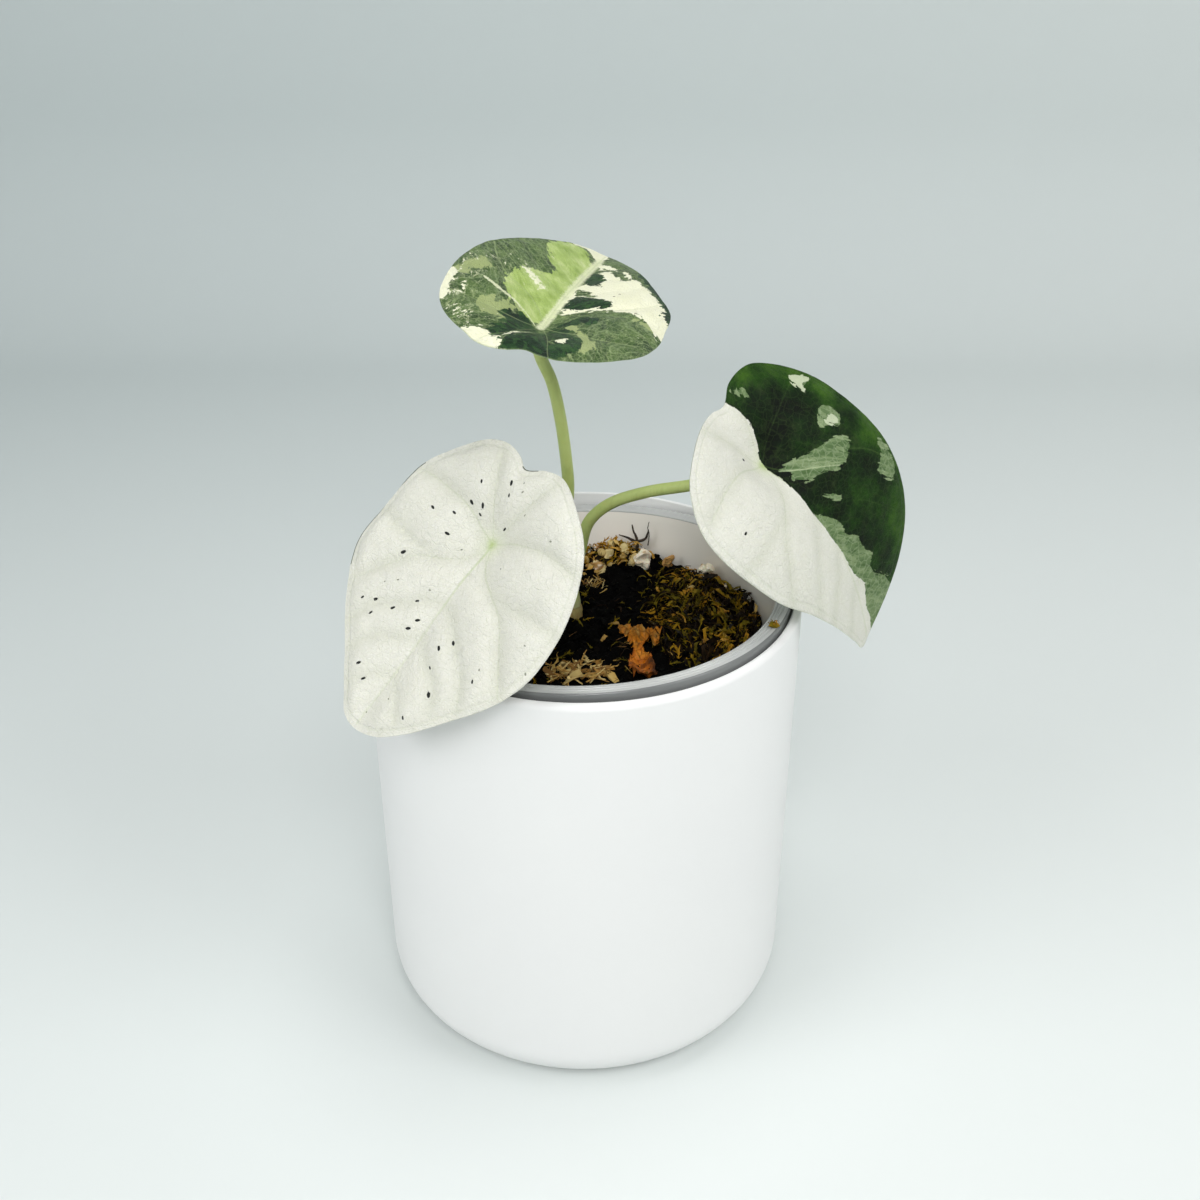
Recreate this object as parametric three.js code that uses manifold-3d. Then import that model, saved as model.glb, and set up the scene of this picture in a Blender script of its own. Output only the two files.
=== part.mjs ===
// A young potted alocasia: three thick, quilted, peltate leaves on their own stalks, rooted in
// growing mix in a clear nursery cup, which stands in a plain white cylindrical cachepot.
// Millimetres, +Z up, origin at the middle of the cachepot's foot, -Y towards the front.
import * as THREE from 'three';
import { mergeVertices } from 'three/addons/utils/BufferGeometryUtils.js';
import Module from 'manifold-3d';

const wasm = await Module();
wasm.setup();

// Driving dimensions
const GAP = 0.3; // room between a piece and its seat
const SEGMENTS = 48; // facets round the pot, the cup and the mix
const WELD = 1e-4; // corners closer than this are one
const POT = { radius: 50, height: 109.6, wall: 1.8, floor: 2.2, footCorner: 11, lipRound: 1.5 };
const CUP = {
  centre: [0.4, 0, 108.9], // middle of the rim
  frontUp: 2.5, // degrees that the front of the rim stands up
  rightUp: 1.7, // degrees that the right of the rim stands up
  rimOuter: 47.4, rimInner: 43.7, rimSkirt: 2.6, rimRound: 0.6,
  footRadius: 34, footChamfer: 2, wall: 0.8,
  drainHoles: 6, drainRadius: 3.5, drainCircle: 22, drainSides: 12, drainReach: 6,
};
const MIX = {
  level: -13.5, lump: 0.55, rings: 12,
  mounds: [
    { at: [10, 37], spread: [14, 8], height: 2.4 },
    { at: [-6.7, 12.5], spread: [9, 9], height: 1.6 },
  ],
};
const LEAF = { thickness: 0.95, edge: 0.75, rings: 10, sectors: 48, quilt: 0.7, quiltReach: 3 };
const BLADE = { side: 25, ahead: 45, behind: 20, crease: 3, funnel: 8 }; // mm over which a blade bends
const STALK = { radius: 1.4, sides: 8, steps: 18 };
const CROWN = {
  centre: [-6.1, 11.7], foot: 86, top: 98.5, footRadius: 3.8, shoulder: 6.3, topRadius: 5,
  bevel: 0.8, belly: 3, sides: 16,
};
const ROOT = { radius: 1.2, sides: 6, steps: 7 };

const COLOURS = {
  pot: 0xf4f5f5, cup: 0xb9bcbc, mix: 0x1c130d, stalk: 0x8f9d5a, whiteBlade: 0xe9ebdf,
  marbledBlade: 0x7d9467, halfBlade: 0x4d6b3d, crown: 0xb7b98a, moss: 0x6d5a20,
  perlite: 0xece9e2, straw: 0xb99d63, deadLeaf: 0xb5651d, twig: 0x2e2418,
};

// Leaf outlines, counter-clockwise as seen from above, in mm from where the stalk joins,
// +y towards the tip. Each starts at the tip and passes the notch half way.
const LEAVES = {
  leaf_left: {
    colour: COLOURS.whiteBlade,
    at: [-18.2, -24, 132.3], faces: [-0.493, -0.592, 0.638], tip: [-0.536, -0.37, -0.758],
    fold: 0.09, arch: 1.12, droop: -2.75, lobeDroop: 0, funnel: 2.2, swing: 1, twist: 0.5,
    outline: [
      [0.3, 46.9], [-5.4, 45.6], [-11.5, 41], [-18.4, 33.3], [-24, 26.5], [-27.7, 19],
      [-28.7, 10.5], [-27.4, 1], [-22.9, -9], [-16.2, -15], [-8.4, -19.2], [-3.6, -18.8],
      [1.6, -16.8], [4.6, -18.5], [8.5, -19.4], [13.2, -18.2], [19.5, -13], [25.7, -5.3],
      [28.1, 5.9], [28.9, 15.9], [23.5, 25.5], [13.4, 36.4], [7.6, 42.6], [4.2, 45.8],
    ],
  },
  leaf_top: {
    colour: COLOURS.marbledBlade,
    at: [-8, 0.1, 170.4], faces: [0.2, -0.107, 0.974], tip: [0.283, 0.958, 0.047],
    fold: 0.31, arch: 4.54, droop: 1.62, lobeDroop: 0.37, funnel: 1.8, swing: 0.3, twist: -1.5,
    outline: [
      [-0.4, 46.1], [-4.3, 45.4], [-10.3, 40.2], [-16.7, 32.4], [-21.9, 23.5], [-23.6, 12],
      [-22.8, 1.4], [-20.3, -8.6], [-15.8, -15], [-11.5, -17.6], [-8.2, -19.4], [-4.4, -18.6],
      [0.8, -14.8], [4, -16.2], [8.5, -17.4], [14.4, -16], [19, -12.4], [22.6, -7.5],
      [24.4, 0.2], [23.9, 8.3], [22.7, 17.6], [17.6, 27], [10.2, 38.4], [3.9, 44.4],
    ],
  },
  leaf_right: {
    colour: COLOURS.halfBlade,
    at: [38.6, -5.5, 141.7], faces: [0.443, -0.584, 0.68], tip: [0.77, -0.141, -0.622],
    fold: 0.52, arch: 9.27, droop: 20.7, lobeDroop: -1.26, funnel: 2.5, swing: 0.8, twist: -6.6,
    outline: [
      [1.7, 50.3], [-3.2, 48.3], [-9.6, 44.6], [-16.4, 39.4], [-21.1, 33.9], [-24.9, 25.3],
      [-26, 16.4], [-25.5, 6], [-24.7, -1.6], [-20.6, -9.7], [-14.6, -15.6], [-8, -16.8],
      [-3.1, -14.9], [1, -16.3], [8.5, -16.9], [15.7, -15.7], [22, -12.8], [26.9, -5.9],
      [28, 2], [26.8, 9.8], [23.5, 19.4], [17.6, 28.2], [10.9, 38.1], [5, 46.3],
    ],
  },
};

// One side's veins on a leaf 28 mm wide each side and 47 mm from stalk to tip
const VEIN_REACH = [28, 47];
const MIDRIB = [[0, 0], [0, 46]];
const SIDE_VEINS = [
  [[0, 0], [2, -4], [4, -8.5], [6.5, -14], [8.5, -18]],
  [[0, 0], [3, -1.3], [9, -3.8], [15.7, -5.5], [24, -5]],
  [[0, 0], [2.4, 4.5], [7.2, 7.8], [12.9, 10.6], [18.3, 16], [24, 24.5]],
  [[7.2, 7.8], [12.5, 8.3], [17.3, 7.8], [26.5, 8]],
  [[0, 15.5], [5, 17.7], [9, 20.7], [13.5, 25], [17.5, 31.5]],
  [[0, 23.8], [4.2, 26.9], [9.3, 29.6], [13, 34]],
  [[0, 33.4], [4.5, 36.4], [7.5, 40]],
];

// Stalks as points up from the crown; each ends square under its leaf
const STALKS = {
  petiole_left: {
    leaf: 'leaf_left', approach: 5,
    path: [[-8.8, 9.6, 98.9], [-8.9, 9.4, 102], [-9.2, 8, 107], [-9.8, 3, 115.5], [-12, -8, 124]],
  },
  petiole_top: {
    leaf: 'leaf_top', approach: 4,
    path: [
      [-6.4, 14.6, 98.9], [-6.3, 14.4, 102], [-4.9, 12, 114], [-3.3, 8.6, 129.3], [-3.6, 6.8, 137],
      [-4.8, 4.5, 148.8], [-6.4, 3, 157.5],
    ],
  },
  petiole_right: {
    leaf: 'leaf_right', approach: 4,
    path: [
      [-3.2, 10.8, 98.9], [-3.1, 10.8, 102], [-0.9, 9.8, 112.5], [1.4, 8.2, 121.5],
      [6, 6.8, 126.6], [14, 4, 130.9], [23.5, 0.6, 134.2], [31, -1.6, 136.8],
    ],
  },
};

const ROOTS = [
  [[-6.1, 11.7, 92], [-12, 15, 88], [-18, 20, 82], [-20, 22, 70]],
  [[-6.1, 11.7, 92], [0, 16, 87], [8, 19, 80], [11, 18, 66]],
  [[-6.1, 11.7, 92], [-7, 4, 87], [-10, -6, 78], [-9, -12, 62]],
  [[-6.1, 11.7, 90], [-5, 12, 82], [-2, 9, 72], [1, 6, 58]],
];

// Bits on the mix, in the cup's frame: moss mats as [x, y, half width, half length, thickness]
const MOSS = { moss_back: [7, 38.2, 9.5, 3.4, 3.6], moss_right: [27.5, 7, 12.5, 22, 3.4] };
const MAT = {
  sectors: 20, rings: 5,
  room: 1, // kept clear of the cup's wall
  sink: 0.6, // reach down before the seat is cut
  edge: 0.8, // height at the edge
};
const PERLITE = [
  [[13.9, 33.4, -9.5], 2.3], [[29.6, 26, -9.7], 2.1], [[2.6, 33, -10.9], 1.4], [[-3, 33.5, -10.8], 1.5],
  [[20.5, 33.4, -10.6], 1.5],
];
const STRAW = {
  straw_front: { at: [-1.5, -17], chips: 7, length: 9, spread: 9, seed: 5 },
  straw_tuft: { at: [1.6, 25.5], chips: 4, length: 5, spread: 3, seed: 9 },
};
const STRAW_CHIP = { thickness: 0.8, width: 0.6, rise: 0.5 };
const CRUMB = { at: [40.9, -21.9, 0.9], radius: 1.2, flatness: 0.5 };
const DEAD_LEAF = {
  thickness: 0.8, rise: 0.7,
  outline: [
    [8, 3.5], [12, 1.5], [17.2, -3.2], [16.4, -5.6], [13, -5], [12.8, -9], [15, -13.5], [14.8, -20.5],
    [10.6, -20], [9.8, -14.5], [10.8, -9.5], [9.6, -3.5], [7.4, 0.4],
  ],
};
const TWIG = {
  radius: 0.5,
  branches: [
    [[12.6, 38.4, -9.5], [12.8, 38.4, -6.5], [12, 38.6, -4.2], [11.6, 38.8, -2.4]],
    [[12.6, 38.4, -7.2], [10.6, 38.4, -5.9], [8.2, 38.6, -5]],
    [[12.7, 38.4, -7], [14.8, 38.2, -6.2], [15.8, 38.2, -3.6]],
  ],
};

const radians = THREE.MathUtils.degToRad;
const vector = (point) => new THREE.Vector3(...point);

// Repeatable random numbers between 0 and 1
function seeded(seed) {
  let state = seed;
  return () => {
    state = (state * 1664525 + 1013904223) % 4294967296;
    return state / 4294967296;
  };
}

// Points of an arc in a profile, from one angle to another in degrees
function arc(x, y, radius, from, to, steps) {
  return Array.from({ length: steps + 1 }, (_, k) => {
    const angle = radians(from + ((to - from) * k) / steps);
    return [x + radius * Math.cos(angle), y + radius * Math.sin(angle)];
  });
}

// Welds a geometry's corners and drops triangles without area
function weld(geometry) {
  const bare = geometry.clone();
  bare.deleteAttribute('normal');
  bare.deleteAttribute('uv');
  const welded = mergeVertices(bare, WELD);
  const kept = [];
  for (let k = 0; k < welded.index.count; k += 3) {
    const [a, b, c] = [0, 1, 2].map((corner) => welded.index.getX(k + corner));
    if (a !== b && b !== c && c !== a) kept.push(a, b, c);
  }
  welded.setIndex(kept);
  return welded;
}

function toSolid(geometry) {
  const welded = weld(geometry);
  return new wasm.Manifold(new wasm.Mesh({
    numProp: 3,
    vertProperties: new Float32Array(welded.attributes.position.array),
    triVerts: new Uint32Array(welded.index.array),
  }));
}

function fromSolid(solid) {
  const mesh = solid.getMesh();
  const geometry = new THREE.BufferGeometry();
  geometry.setAttribute('position', new THREE.BufferAttribute(mesh.vertProperties, 3));
  geometry.setIndex(new THREE.BufferAttribute(mesh.triVerts, 1));
  return geometry;
}

const fuse = (geometries) => fromSolid(geometries.map(toSolid).reduce((a, b) => a.add(b)));
const carve = (body, tools) => fromSolid(tools.map(toSolid).reduce((a, b) => a.subtract(b), toSolid(body)));

// A turned solid: the profile's [radius, height] points run up the outside and down the inside
function turned(profile, segments = SEGMENTS) {
  const points = profile.map(([radius, height]) => new THREE.Vector2(radius, height));
  return weld(new THREE.LatheGeometry(points, segments).rotateX(Math.PI / 2));
}

// A round bar along a smooth curve
function bar(points, radius, sides, steps) {
  const section = new THREE.Shape();
  arc(0, 0, radius, 0, 360 - 360 / sides, sides - 1).forEach(([x, y], k) => (
    k ? section.lineTo(x, y) : section.moveTo(x, y)));
  const path = new THREE.CatmullRomCurve3(points.map(vector));
  return weld(new THREE.ExtrudeGeometry(section, { steps, extrudePath: path, bevelEnabled: false }));
}

// A closed skin from a top pole over rings of points to a bottom pole. Rings after the rim split
// their squares the other way, so that both faces of a thin sheet are split alike.
function skin(topPole, rings, bottomPole, rim) {
  const count = rings[0].length;
  const positions = [topPole, ...rings.flat(), bottomPole].flat();
  const at = (ring, k) => 1 + ring * count + (k % count);
  const last = 1 + rings.length * count;
  const index = [];
  for (let k = 0; k < count; k += 1) {
    index.push(0, at(0, k), at(0, k + 1));
    for (let ring = 0; ring + 1 < rings.length; ring += 1) {
      const [a, b, c, d] = [at(ring, k), at(ring + 1, k), at(ring + 1, k + 1), at(ring, k + 1)];
      if (ring < rim) index.push(a, b, c, a, c, d);
      else index.push(a, b, d, b, c, d);
    }
    index.push(last, at(rings.length - 1, k + 1), at(rings.length - 1, k));
  }
  const geometry = new THREE.BufferGeometry();
  geometry.setAttribute('position', new THREE.Float32BufferAttribute(positions, 3));
  geometry.setIndex(index);
  return geometry;
}

function piece(name, geometry, colour, roughness) {
  const mesh = new THREE.Mesh(geometry, new THREE.MeshStandardMaterial({ color: colour, roughness }));
  mesh.name = name;
  return mesh;
}

// Cachepot: flat foot, round lower corner, straight wall, rounded lip
function potProfile() {
  const { radius, height, wall, floor, footCorner, lipRound } = POT;
  const inner = radius - wall;
  const cornerRadius = radius - footCorner;
  return [
    [0, 0],
    ...arc(cornerRadius, footCorner, footCorner, -90, 0, 7),
    ...arc(radius - lipRound, height - lipRound, lipRound, 0, 90, 3),
    [inner, height - wall + lipRound],
    ...arc(cornerRadius, floor + inner - cornerRadius, inner - cornerRadius, 0, -90, 4),
    [0, floor],
  ];
}

// Cup, from its rim's top at z = 0 down to its foot
const cupTilt = new THREE.Euler(radians(-CUP.frontUp), radians(-CUP.rightUp), 0);
const cupLean = vector([0, 0, 1]).applyEuler(cupTilt).z;
const cupRise = CUP.footRadius * Math.sqrt(1 - cupLean ** 2);
const cupDepth = (CUP.centre[2] - POT.floor - GAP - cupRise) / cupLean;
const cupTaper = (CUP.rimInner - CUP.footRadius + CUP.wall) / (cupDepth - CUP.wall);
const cupInside = (z) => CUP.rimInner + cupTaper * Math.min(z + CUP.rimRound, 0);

function cupProfile() {
  const { rimInner, rimOuter, rimSkirt, rimRound, footRadius, footChamfer, wall } = CUP;
  const foot = -cupDepth;
  const innerFoot = foot + wall + footChamfer;
  return [
    [0, foot],
    [footRadius - footChamfer, foot],
    [footRadius, foot + footChamfer],
    [rimInner + wall, -wall - rimRound],
    [rimOuter - rimRound, -wall - rimRound],
    [rimOuter - rimRound, -rimSkirt],
    [rimOuter, -rimSkirt],
    ...arc(rimOuter - rimRound, -rimRound, rimRound, 0, 90, 3),
    ...arc(rimInner + rimRound, -rimRound, rimRound, 90, 180, 3),
    [cupInside(innerFoot), innerFoot],
    [cupInside(innerFoot) - footChamfer, foot + wall],
    [0, foot + wall],
  ];
}

function cupGeometry() {
  const holes = Array.from({ length: CUP.drainHoles }, (_, k) => {
    const angle = (2 * Math.PI * k) / CUP.drainHoles;
    const hole = new THREE.CylinderGeometry(CUP.drainRadius, CUP.drainRadius, CUP.drainReach, CUP.drainSides);
    return hole.rotateX(Math.PI / 2).translate(
      CUP.drainCircle * Math.cos(angle), CUP.drainCircle * Math.sin(angle), -cupDepth);
  });
  return carve(turned(cupProfile()), holes);
}

// Height of the mix in the cup's frame: higher at the back and round the crown, with fine lumps
function mixHeight(x, y) {
  const lumps = Math.sin(0.9 * x + 1.3) * Math.sin(0.8 * y + 0.4)
    + 0.7 * Math.sin(1.7 * x - 0.6 * y) + 0.5 * Math.sin(1.1 * x + 2.3 * y + 2);
  const raised = MIX.mounds.map(({ at, spread, height }) => (
    height * Math.exp(-(((x - at[0]) / spread[0]) ** 2) - ((y - at[1]) / spread[1]) ** 2)));
  return MIX.level + MIX.lump * lumps + raised.reduce((sum, height) => sum + height);
}

function mixGeometry(crownTool) {
  const angles = Array.from({ length: SEGMENTS }, (_, k) => (2 * Math.PI * k) / SEGMENTS);
  const edgeRadius = (angle) => {
    const reach = cupInside(MIX.level) - GAP;
    const z = mixHeight(reach * Math.cos(angle), reach * Math.sin(angle));
    return [cupInside(z) - GAP, z];
  };
  const top = Array.from({ length: MIX.rings }, (_, ring) => angles.map((angle) => {
    const [reach, edgeZ] = edgeRadius(angle);
    const radius = (reach * (ring + 1)) / MIX.rings;
    const [x, y] = [radius * Math.cos(angle), radius * Math.sin(angle)];
    return [x, y, ring + 1 === MIX.rings ? edgeZ : mixHeight(x, y)];
  }));
  const foot = -cupDepth + CUP.wall + GAP;
  const shoulder = foot + CUP.footChamfer;
  const around = (radius, z) => angles.map((angle) => (
    [radius * Math.cos(angle), radius * Math.sin(angle), z]));
  const lower = [
    around(cupInside(shoulder) - GAP, shoulder),
    around(cupInside(shoulder) - GAP - CUP.footChamfer, foot),
  ];
  const plug = skin([0, 0, mixHeight(0, 0)], [...top, ...lower], [0, 0, foot], MIX.rings);
  return carve(plug, [crownTool]);
}

// Crown with its thick roots; extra makes the slightly fatter tool that cuts its seat
function crownGeometry(extra = 0) {
  const { centre, foot, top, footRadius, shoulder, topRadius, bevel, belly, sides } = CROWN;
  const middle = (foot + top) / 2;
  const body = turned([
    [0, foot - extra], [footRadius + extra, foot + bevel - extra],
    [shoulder + extra, middle - belly / 2], [shoulder + extra, middle + belly / 2],
    [topRadius + bevel + extra, top - bevel], [topRadius + extra, top + extra], [0, top + extra],
  ], sides).translate(...centre, 0);
  const roots = ROOTS.map((points) => {
    const [before, end] = points.slice(-2).map(vector);
    const past = end.clone().addScaledVector(end.clone().sub(before).normalize(), extra).toArray();
    return bar([...points.slice(0, -1), past], ROOT.radius + extra, ROOT.sides, ROOT.steps);
  });
  return fuse([body, ...roots]);
}

// Distance from a point to a line of points
function distanceToLine(x, y, points) {
  let nearest = Infinity;
  for (let k = 0; k + 1 < points.length; k += 1) {
    const [ax, ay] = points[k];
    const [dx, dy] = [points[k + 1][0] - ax, points[k + 1][1] - ay];
    const along = THREE.MathUtils.clamp(((x - ax) * dx + (y - ay) * dy) / (dx * dx + dy * dy), 0, 1);
    nearest = Math.min(nearest, Math.hypot(x - ax - along * dx, y - ay - along * dy));
  }
  return nearest;
}

// Puffed panels between sunken veins
function quilting(x, y) {
  const mirrored = Math.abs(x);
  const gap = Math.min(...[MIDRIB, ...SIDE_VEINS].map((vein) => distanceToLine(mirrored, y, vein)));
  return LEAF.quilt * (1 - Math.exp(-((gap / LEAF.quiltReach) ** 2)));
}

// Place of an outline point on the arched, folded and twisted blade
function bladePoint(leaf, u, v) {
  const [halfWidth, length] = VEIN_REACH;
  const side = u / BLADE.side;
  const ahead = Math.max(v, 0) / BLADE.ahead;
  const behind = Math.min(v, 0) / BLADE.behind;
  const height = leaf.fold * (Math.hypot(u, BLADE.crease) - BLADE.crease) - leaf.arch * side ** 2
    - leaf.droop * ahead ** 2 - leaf.lobeDroop * behind ** 2 + (leaf.twist * side * v) / BLADE.ahead
    + leaf.funnel * (1 - Math.exp(-((Math.hypot(u, v) / BLADE.funnel) ** 2)));
  const width = Math.max(...leaf.outline.map(([x]) => Math.abs(x)));
  const relief = quilting((u * halfWidth) / width, (v * length) / leaf.outline[0][1]);
  return [u + leaf.swing * ahead ** 2, v, height + relief];
}

function leafGeometry(leaf) {
  const margin = new THREE.CatmullRomCurve3(
    leaf.outline.map(([x, y]) => new THREE.Vector3(x, y, 0)), true, 'centripetal');
  const edge = Array.from({ length: LEAF.sectors }, (_, k) => margin.getPoint(k / LEAF.sectors));
  const ring = (share, side) => edge.map((point) => {
    const [x, y, z] = bladePoint(leaf, point.x * share, point.y * share);
    const half = (share === 1 ? LEAF.edge : LEAF.thickness) / 2;
    return [x, y, z + side * half];
  });
  const shares = Array.from({ length: LEAF.rings }, (_, k) => (k + 1) / LEAF.rings);
  const upper = shares.map((share) => ring(share, 1));
  const lower = shares.reverse().map((share) => ring(share, -1));
  const half = LEAF.thickness / 2;
  return skin([0, 0, half], [...upper, ...lower], [0, 0, -half], LEAF.rings);
}

function leafFrame(leaf) {
  const up = vector(leaf.faces).normalize();
  const forward = vector(leaf.tip);
  forward.addScaledVector(up, -forward.dot(up)).normalize();
  return new THREE.Matrix4().makeBasis(forward.clone().cross(up), forward, up);
}

function leafMesh(name, leaf) {
  const mesh = piece(name, leafGeometry(leaf), leaf.colour, 0.45);
  mesh.position.set(...leaf.at);
  mesh.quaternion.setFromRotationMatrix(leafFrame(leaf));
  return mesh;
}

function stalkMesh(name, stalk) {
  const leaf = LEAVES[stalk.leaf];
  const up = vector(leaf.faces).normalize();
  const seat = LEAF.thickness / 2 + GAP;
  const below = (distance) => vector(leaf.at).addScaledVector(up, -distance).toArray();
  const points = [...stalk.path, below(seat + stalk.approach), below(seat)];
  return piece(name, bar(points, STALK.radius, STALK.sides, STALK.steps), COLOURS.stalk, 0.5);
}

// A mossy mat on the mix: an oval with a lumpy top, in the cup's frame
function mossMat(x, y, halfX, halfY, thickness) {
  const { sectors, rings, room } = MAT;
  const reach = cupInside(MIX.level) - room;
  const point = (share, k, side) => {
    const angle = (2 * Math.PI * k) / sectors;
    const px = x + halfX * share * Math.cos(angle);
    const py = y + halfY * share * Math.sin(angle);
    const inside = Math.min(1, reach / Math.hypot(px, py));
    const lumps = 0.35 * Math.sin(5 * px) * Math.cos(4 * py) * (1 - share);
    const rise = MAT.edge + (thickness - MAT.edge) * (1 - share ** 2) + lumps;
    const z = mixHeight(px * inside, py * inside) + (side > 0 ? rise : -MAT.sink);
    return [px * inside, py * inside, z];
  };
  const shares = Array.from({ length: rings }, (_, k) => (k + 1) / rings);
  const ring = (share, side) => Array.from({ length: sectors }, (_, k) => point(share, k, side));
  const upper = shares.map((share) => ring(share, 1));
  const lower = shares.reverse().map((share) => ring(share, -1));
  return skin(point(0, 0, 1), [...upper, ...lower], point(0, 0, -1), rings);
}

// A rough grain, such as perlite
function grain([x, y, z], radius, flatness, seed) {
  const random = seeded(seed);
  const geometry = weld(new THREE.IcosahedronGeometry(radius, 1));
  const position = geometry.attributes.position;
  for (let k = 0; k < position.count; k += 1) {
    const swell = 0.86 + 0.22 * random();
    const [px, py, pz] = [position.getX(k), position.getY(k), position.getZ(k) * flatness];
    position.setXYZ(k, px * swell, py * swell, pz * swell);
  }
  return geometry.translate(x, y, z);
}

// Flat chips of straw and bark, fused where they cross
function strawHeap({ at: [x, y], chips: count, length, spread, seed }) {
  const random = seeded(seed);
  const chips = Array.from({ length: count }, () => {
    const half = length * (0.35 + 0.2 * random());
    const width = STRAW_CHIP.width * (1 + 0.6 * random());
    const outline = [[-half, -width * 0.5], [half * 0.9, -width], [half, width * 0.3], [-half * 0.8, width]];
    const shape = new THREE.Shape(outline.map(([px, py]) => new THREE.Vector2(px, py)));
    const chip = new THREE.ExtrudeGeometry(shape, { depth: STRAW_CHIP.thickness, bevelEnabled: false });
    chip.rotateY((random() - 0.5) * 0.2).rotateZ(random() * Math.PI);
    return chip.translate((random() - 0.5) * spread, (random() - 0.5) * spread * 0.6, random() * 0.4);
  });
  return fuse(chips).translate(x, y, mixHeight(x, y) + STRAW_CHIP.rise);
}

// The shed scrap of an old leaf: a torn flat tongue
function deadLeaf() {
  const shape = new THREE.Shape(DEAD_LEAF.outline.map(([x, y]) => new THREE.Vector2(x, y)));
  const sheet = new THREE.ExtrudeGeometry(shape, { depth: DEAD_LEAF.thickness, bevelEnabled: false });
  return weld(sheet).translate(0, 0, MIX.level + DEAD_LEAF.rise);
}

// A dried, forked root end that sticks out of the moss
const twig = () => fuse(TWIG.branches.map((points) => bar(points, TWIG.radius, 6, 5)));

// Everything that stands in the cup's own tilted frame
function cupGroup() {
  const group = new THREE.Group();
  group.position.set(...CUP.centre);
  group.rotation.copy(cupTilt);
  group.updateMatrixWorld(true);
  const crownTool = crownGeometry(GAP).applyMatrix4(group.matrixWorld.clone().invert());
  const mix = mixGeometry(crownTool);
  const lifted = (geometry) => geometry.clone().translate(0, 0, GAP);
  const mats = Object.entries(MOSS).map(([name, mat]) => [name, carve(mossMat(...mat), [lifted(mix)])]);
  const seats = Object.values(MOSS).map(([x, y, halfX, halfY, thickness]) => (
    lifted(mossMat(x, y, halfX + GAP, halfY + GAP, thickness))));
  const bed = [lifted(mix), ...seats];
  group.add(piece('liner_cup', cupGeometry(), COLOURS.cup, 0.2));
  group.add(piece('growing_mix', mix, COLOURS.mix, 0.95));
  mats.forEach(([name, mat]) => group.add(piece(name, mat, COLOURS.moss, 0.9)));
  PERLITE.forEach(([place, radius], k) => {
    const lump = carve(grain(place, radius, 0.9, 11 + k), bed);
    group.add(piece(`perlite_${k + 1}`, lump, COLOURS.perlite, 0.85));
  });
  group.add(piece('moss_crumb', grain(CRUMB.at, CRUMB.radius, CRUMB.flatness, 3), COLOURS.moss, 0.9));
  Object.entries(STRAW).forEach(([name, heap]) => (
    group.add(piece(name, carve(strawHeap(heap), bed), COLOURS.straw, 0.8))));
  group.add(piece('dead_leaf', carve(deadLeaf(), bed), COLOURS.deadLeaf, 0.7));
  group.add(piece('twig', carve(twig(), bed), COLOURS.twig, 0.8));
  return group;
}

const plant = new THREE.Group();
plant.add(piece('pot', turned(potProfile()), COLOURS.pot, 0.55));
plant.add(cupGroup());
plant.add(piece('crown', crownGeometry(), COLOURS.crown, 0.6));
Object.entries(STALKS).forEach(([name, stalk]) => plant.add(stalkMesh(name, stalk)));
Object.entries(LEAVES).forEach(([name, leaf]) => plant.add(leafMesh(name, leaf)));

export default plant;
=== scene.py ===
import math
import random

import bmesh
import bpy
import numpy as np
from mathutils import Euler, Matrix, Vector, noise


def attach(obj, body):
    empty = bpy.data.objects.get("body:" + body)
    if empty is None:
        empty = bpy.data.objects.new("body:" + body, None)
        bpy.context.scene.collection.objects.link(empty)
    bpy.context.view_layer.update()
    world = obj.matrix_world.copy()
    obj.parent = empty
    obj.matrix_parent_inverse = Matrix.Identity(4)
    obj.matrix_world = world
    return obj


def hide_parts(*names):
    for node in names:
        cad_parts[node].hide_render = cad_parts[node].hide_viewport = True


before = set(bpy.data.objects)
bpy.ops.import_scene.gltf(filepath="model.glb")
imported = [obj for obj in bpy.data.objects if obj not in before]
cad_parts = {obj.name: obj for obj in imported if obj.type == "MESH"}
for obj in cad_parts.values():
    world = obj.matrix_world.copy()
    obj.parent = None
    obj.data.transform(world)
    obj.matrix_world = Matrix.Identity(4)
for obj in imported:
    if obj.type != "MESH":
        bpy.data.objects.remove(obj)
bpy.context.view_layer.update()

# Sizes and places are in millimetres until a piece is finished; Blender holds metres.
MM = 0.001
GAP = 0.3
SCATTER_BATCH = 30

# Blender starts its vector noise from the clock unless it is given a seed.
noise.seed_set(1)

FLOOR_BACK = 410
FLOOR_FRONT = -1190
FLOOR_HALF = 990
FLOOR_CORNER = 300
FLOOR_BORDER = 19.8
FLOOR_BEND = 110
WALL_TOP = 560
LIGHTS_AIM = Vector((0, 0, 0.08))

POT_RADIUS = 50
POT_HEIGHT = 109.6
POT_WALL = 1.8
POT_FLOOR = 2.2
POT_CORNER = 11
POT_LIP = 1.5

CUP_RIM_CENTRE = (0.4, 0, 108.9)
CUP_FRONT_UP = 2.5
CUP_RIGHT_UP = 1.7
CUP_RIM_OUTER = 47.4
CUP_RIM_INNER = 43.7
CUP_RIM_SKIRT = 2.6
CUP_RIM_ROUND = 0.6
CUP_FOOT = 34
CUP_CHAMFER = 2
CUP_WALL = 0.8
CUP_DRAINS = 6
CUP_DRAIN_RADIUS = 3.5
CUP_DRAIN_CIRCLE = 22

MIX_LEVEL = -13.5
MIX_LUMP = 0.55
MIX_MOUNDS = (((10, 37), (14, 8), 2.4), ((-6.7, 12.5), (9, 9), 1.6))
MIX_CELLS = 150
MIX_REACH = 41.5
PATCH_REACH = 41.3
MAT_CELLS = 70

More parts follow.
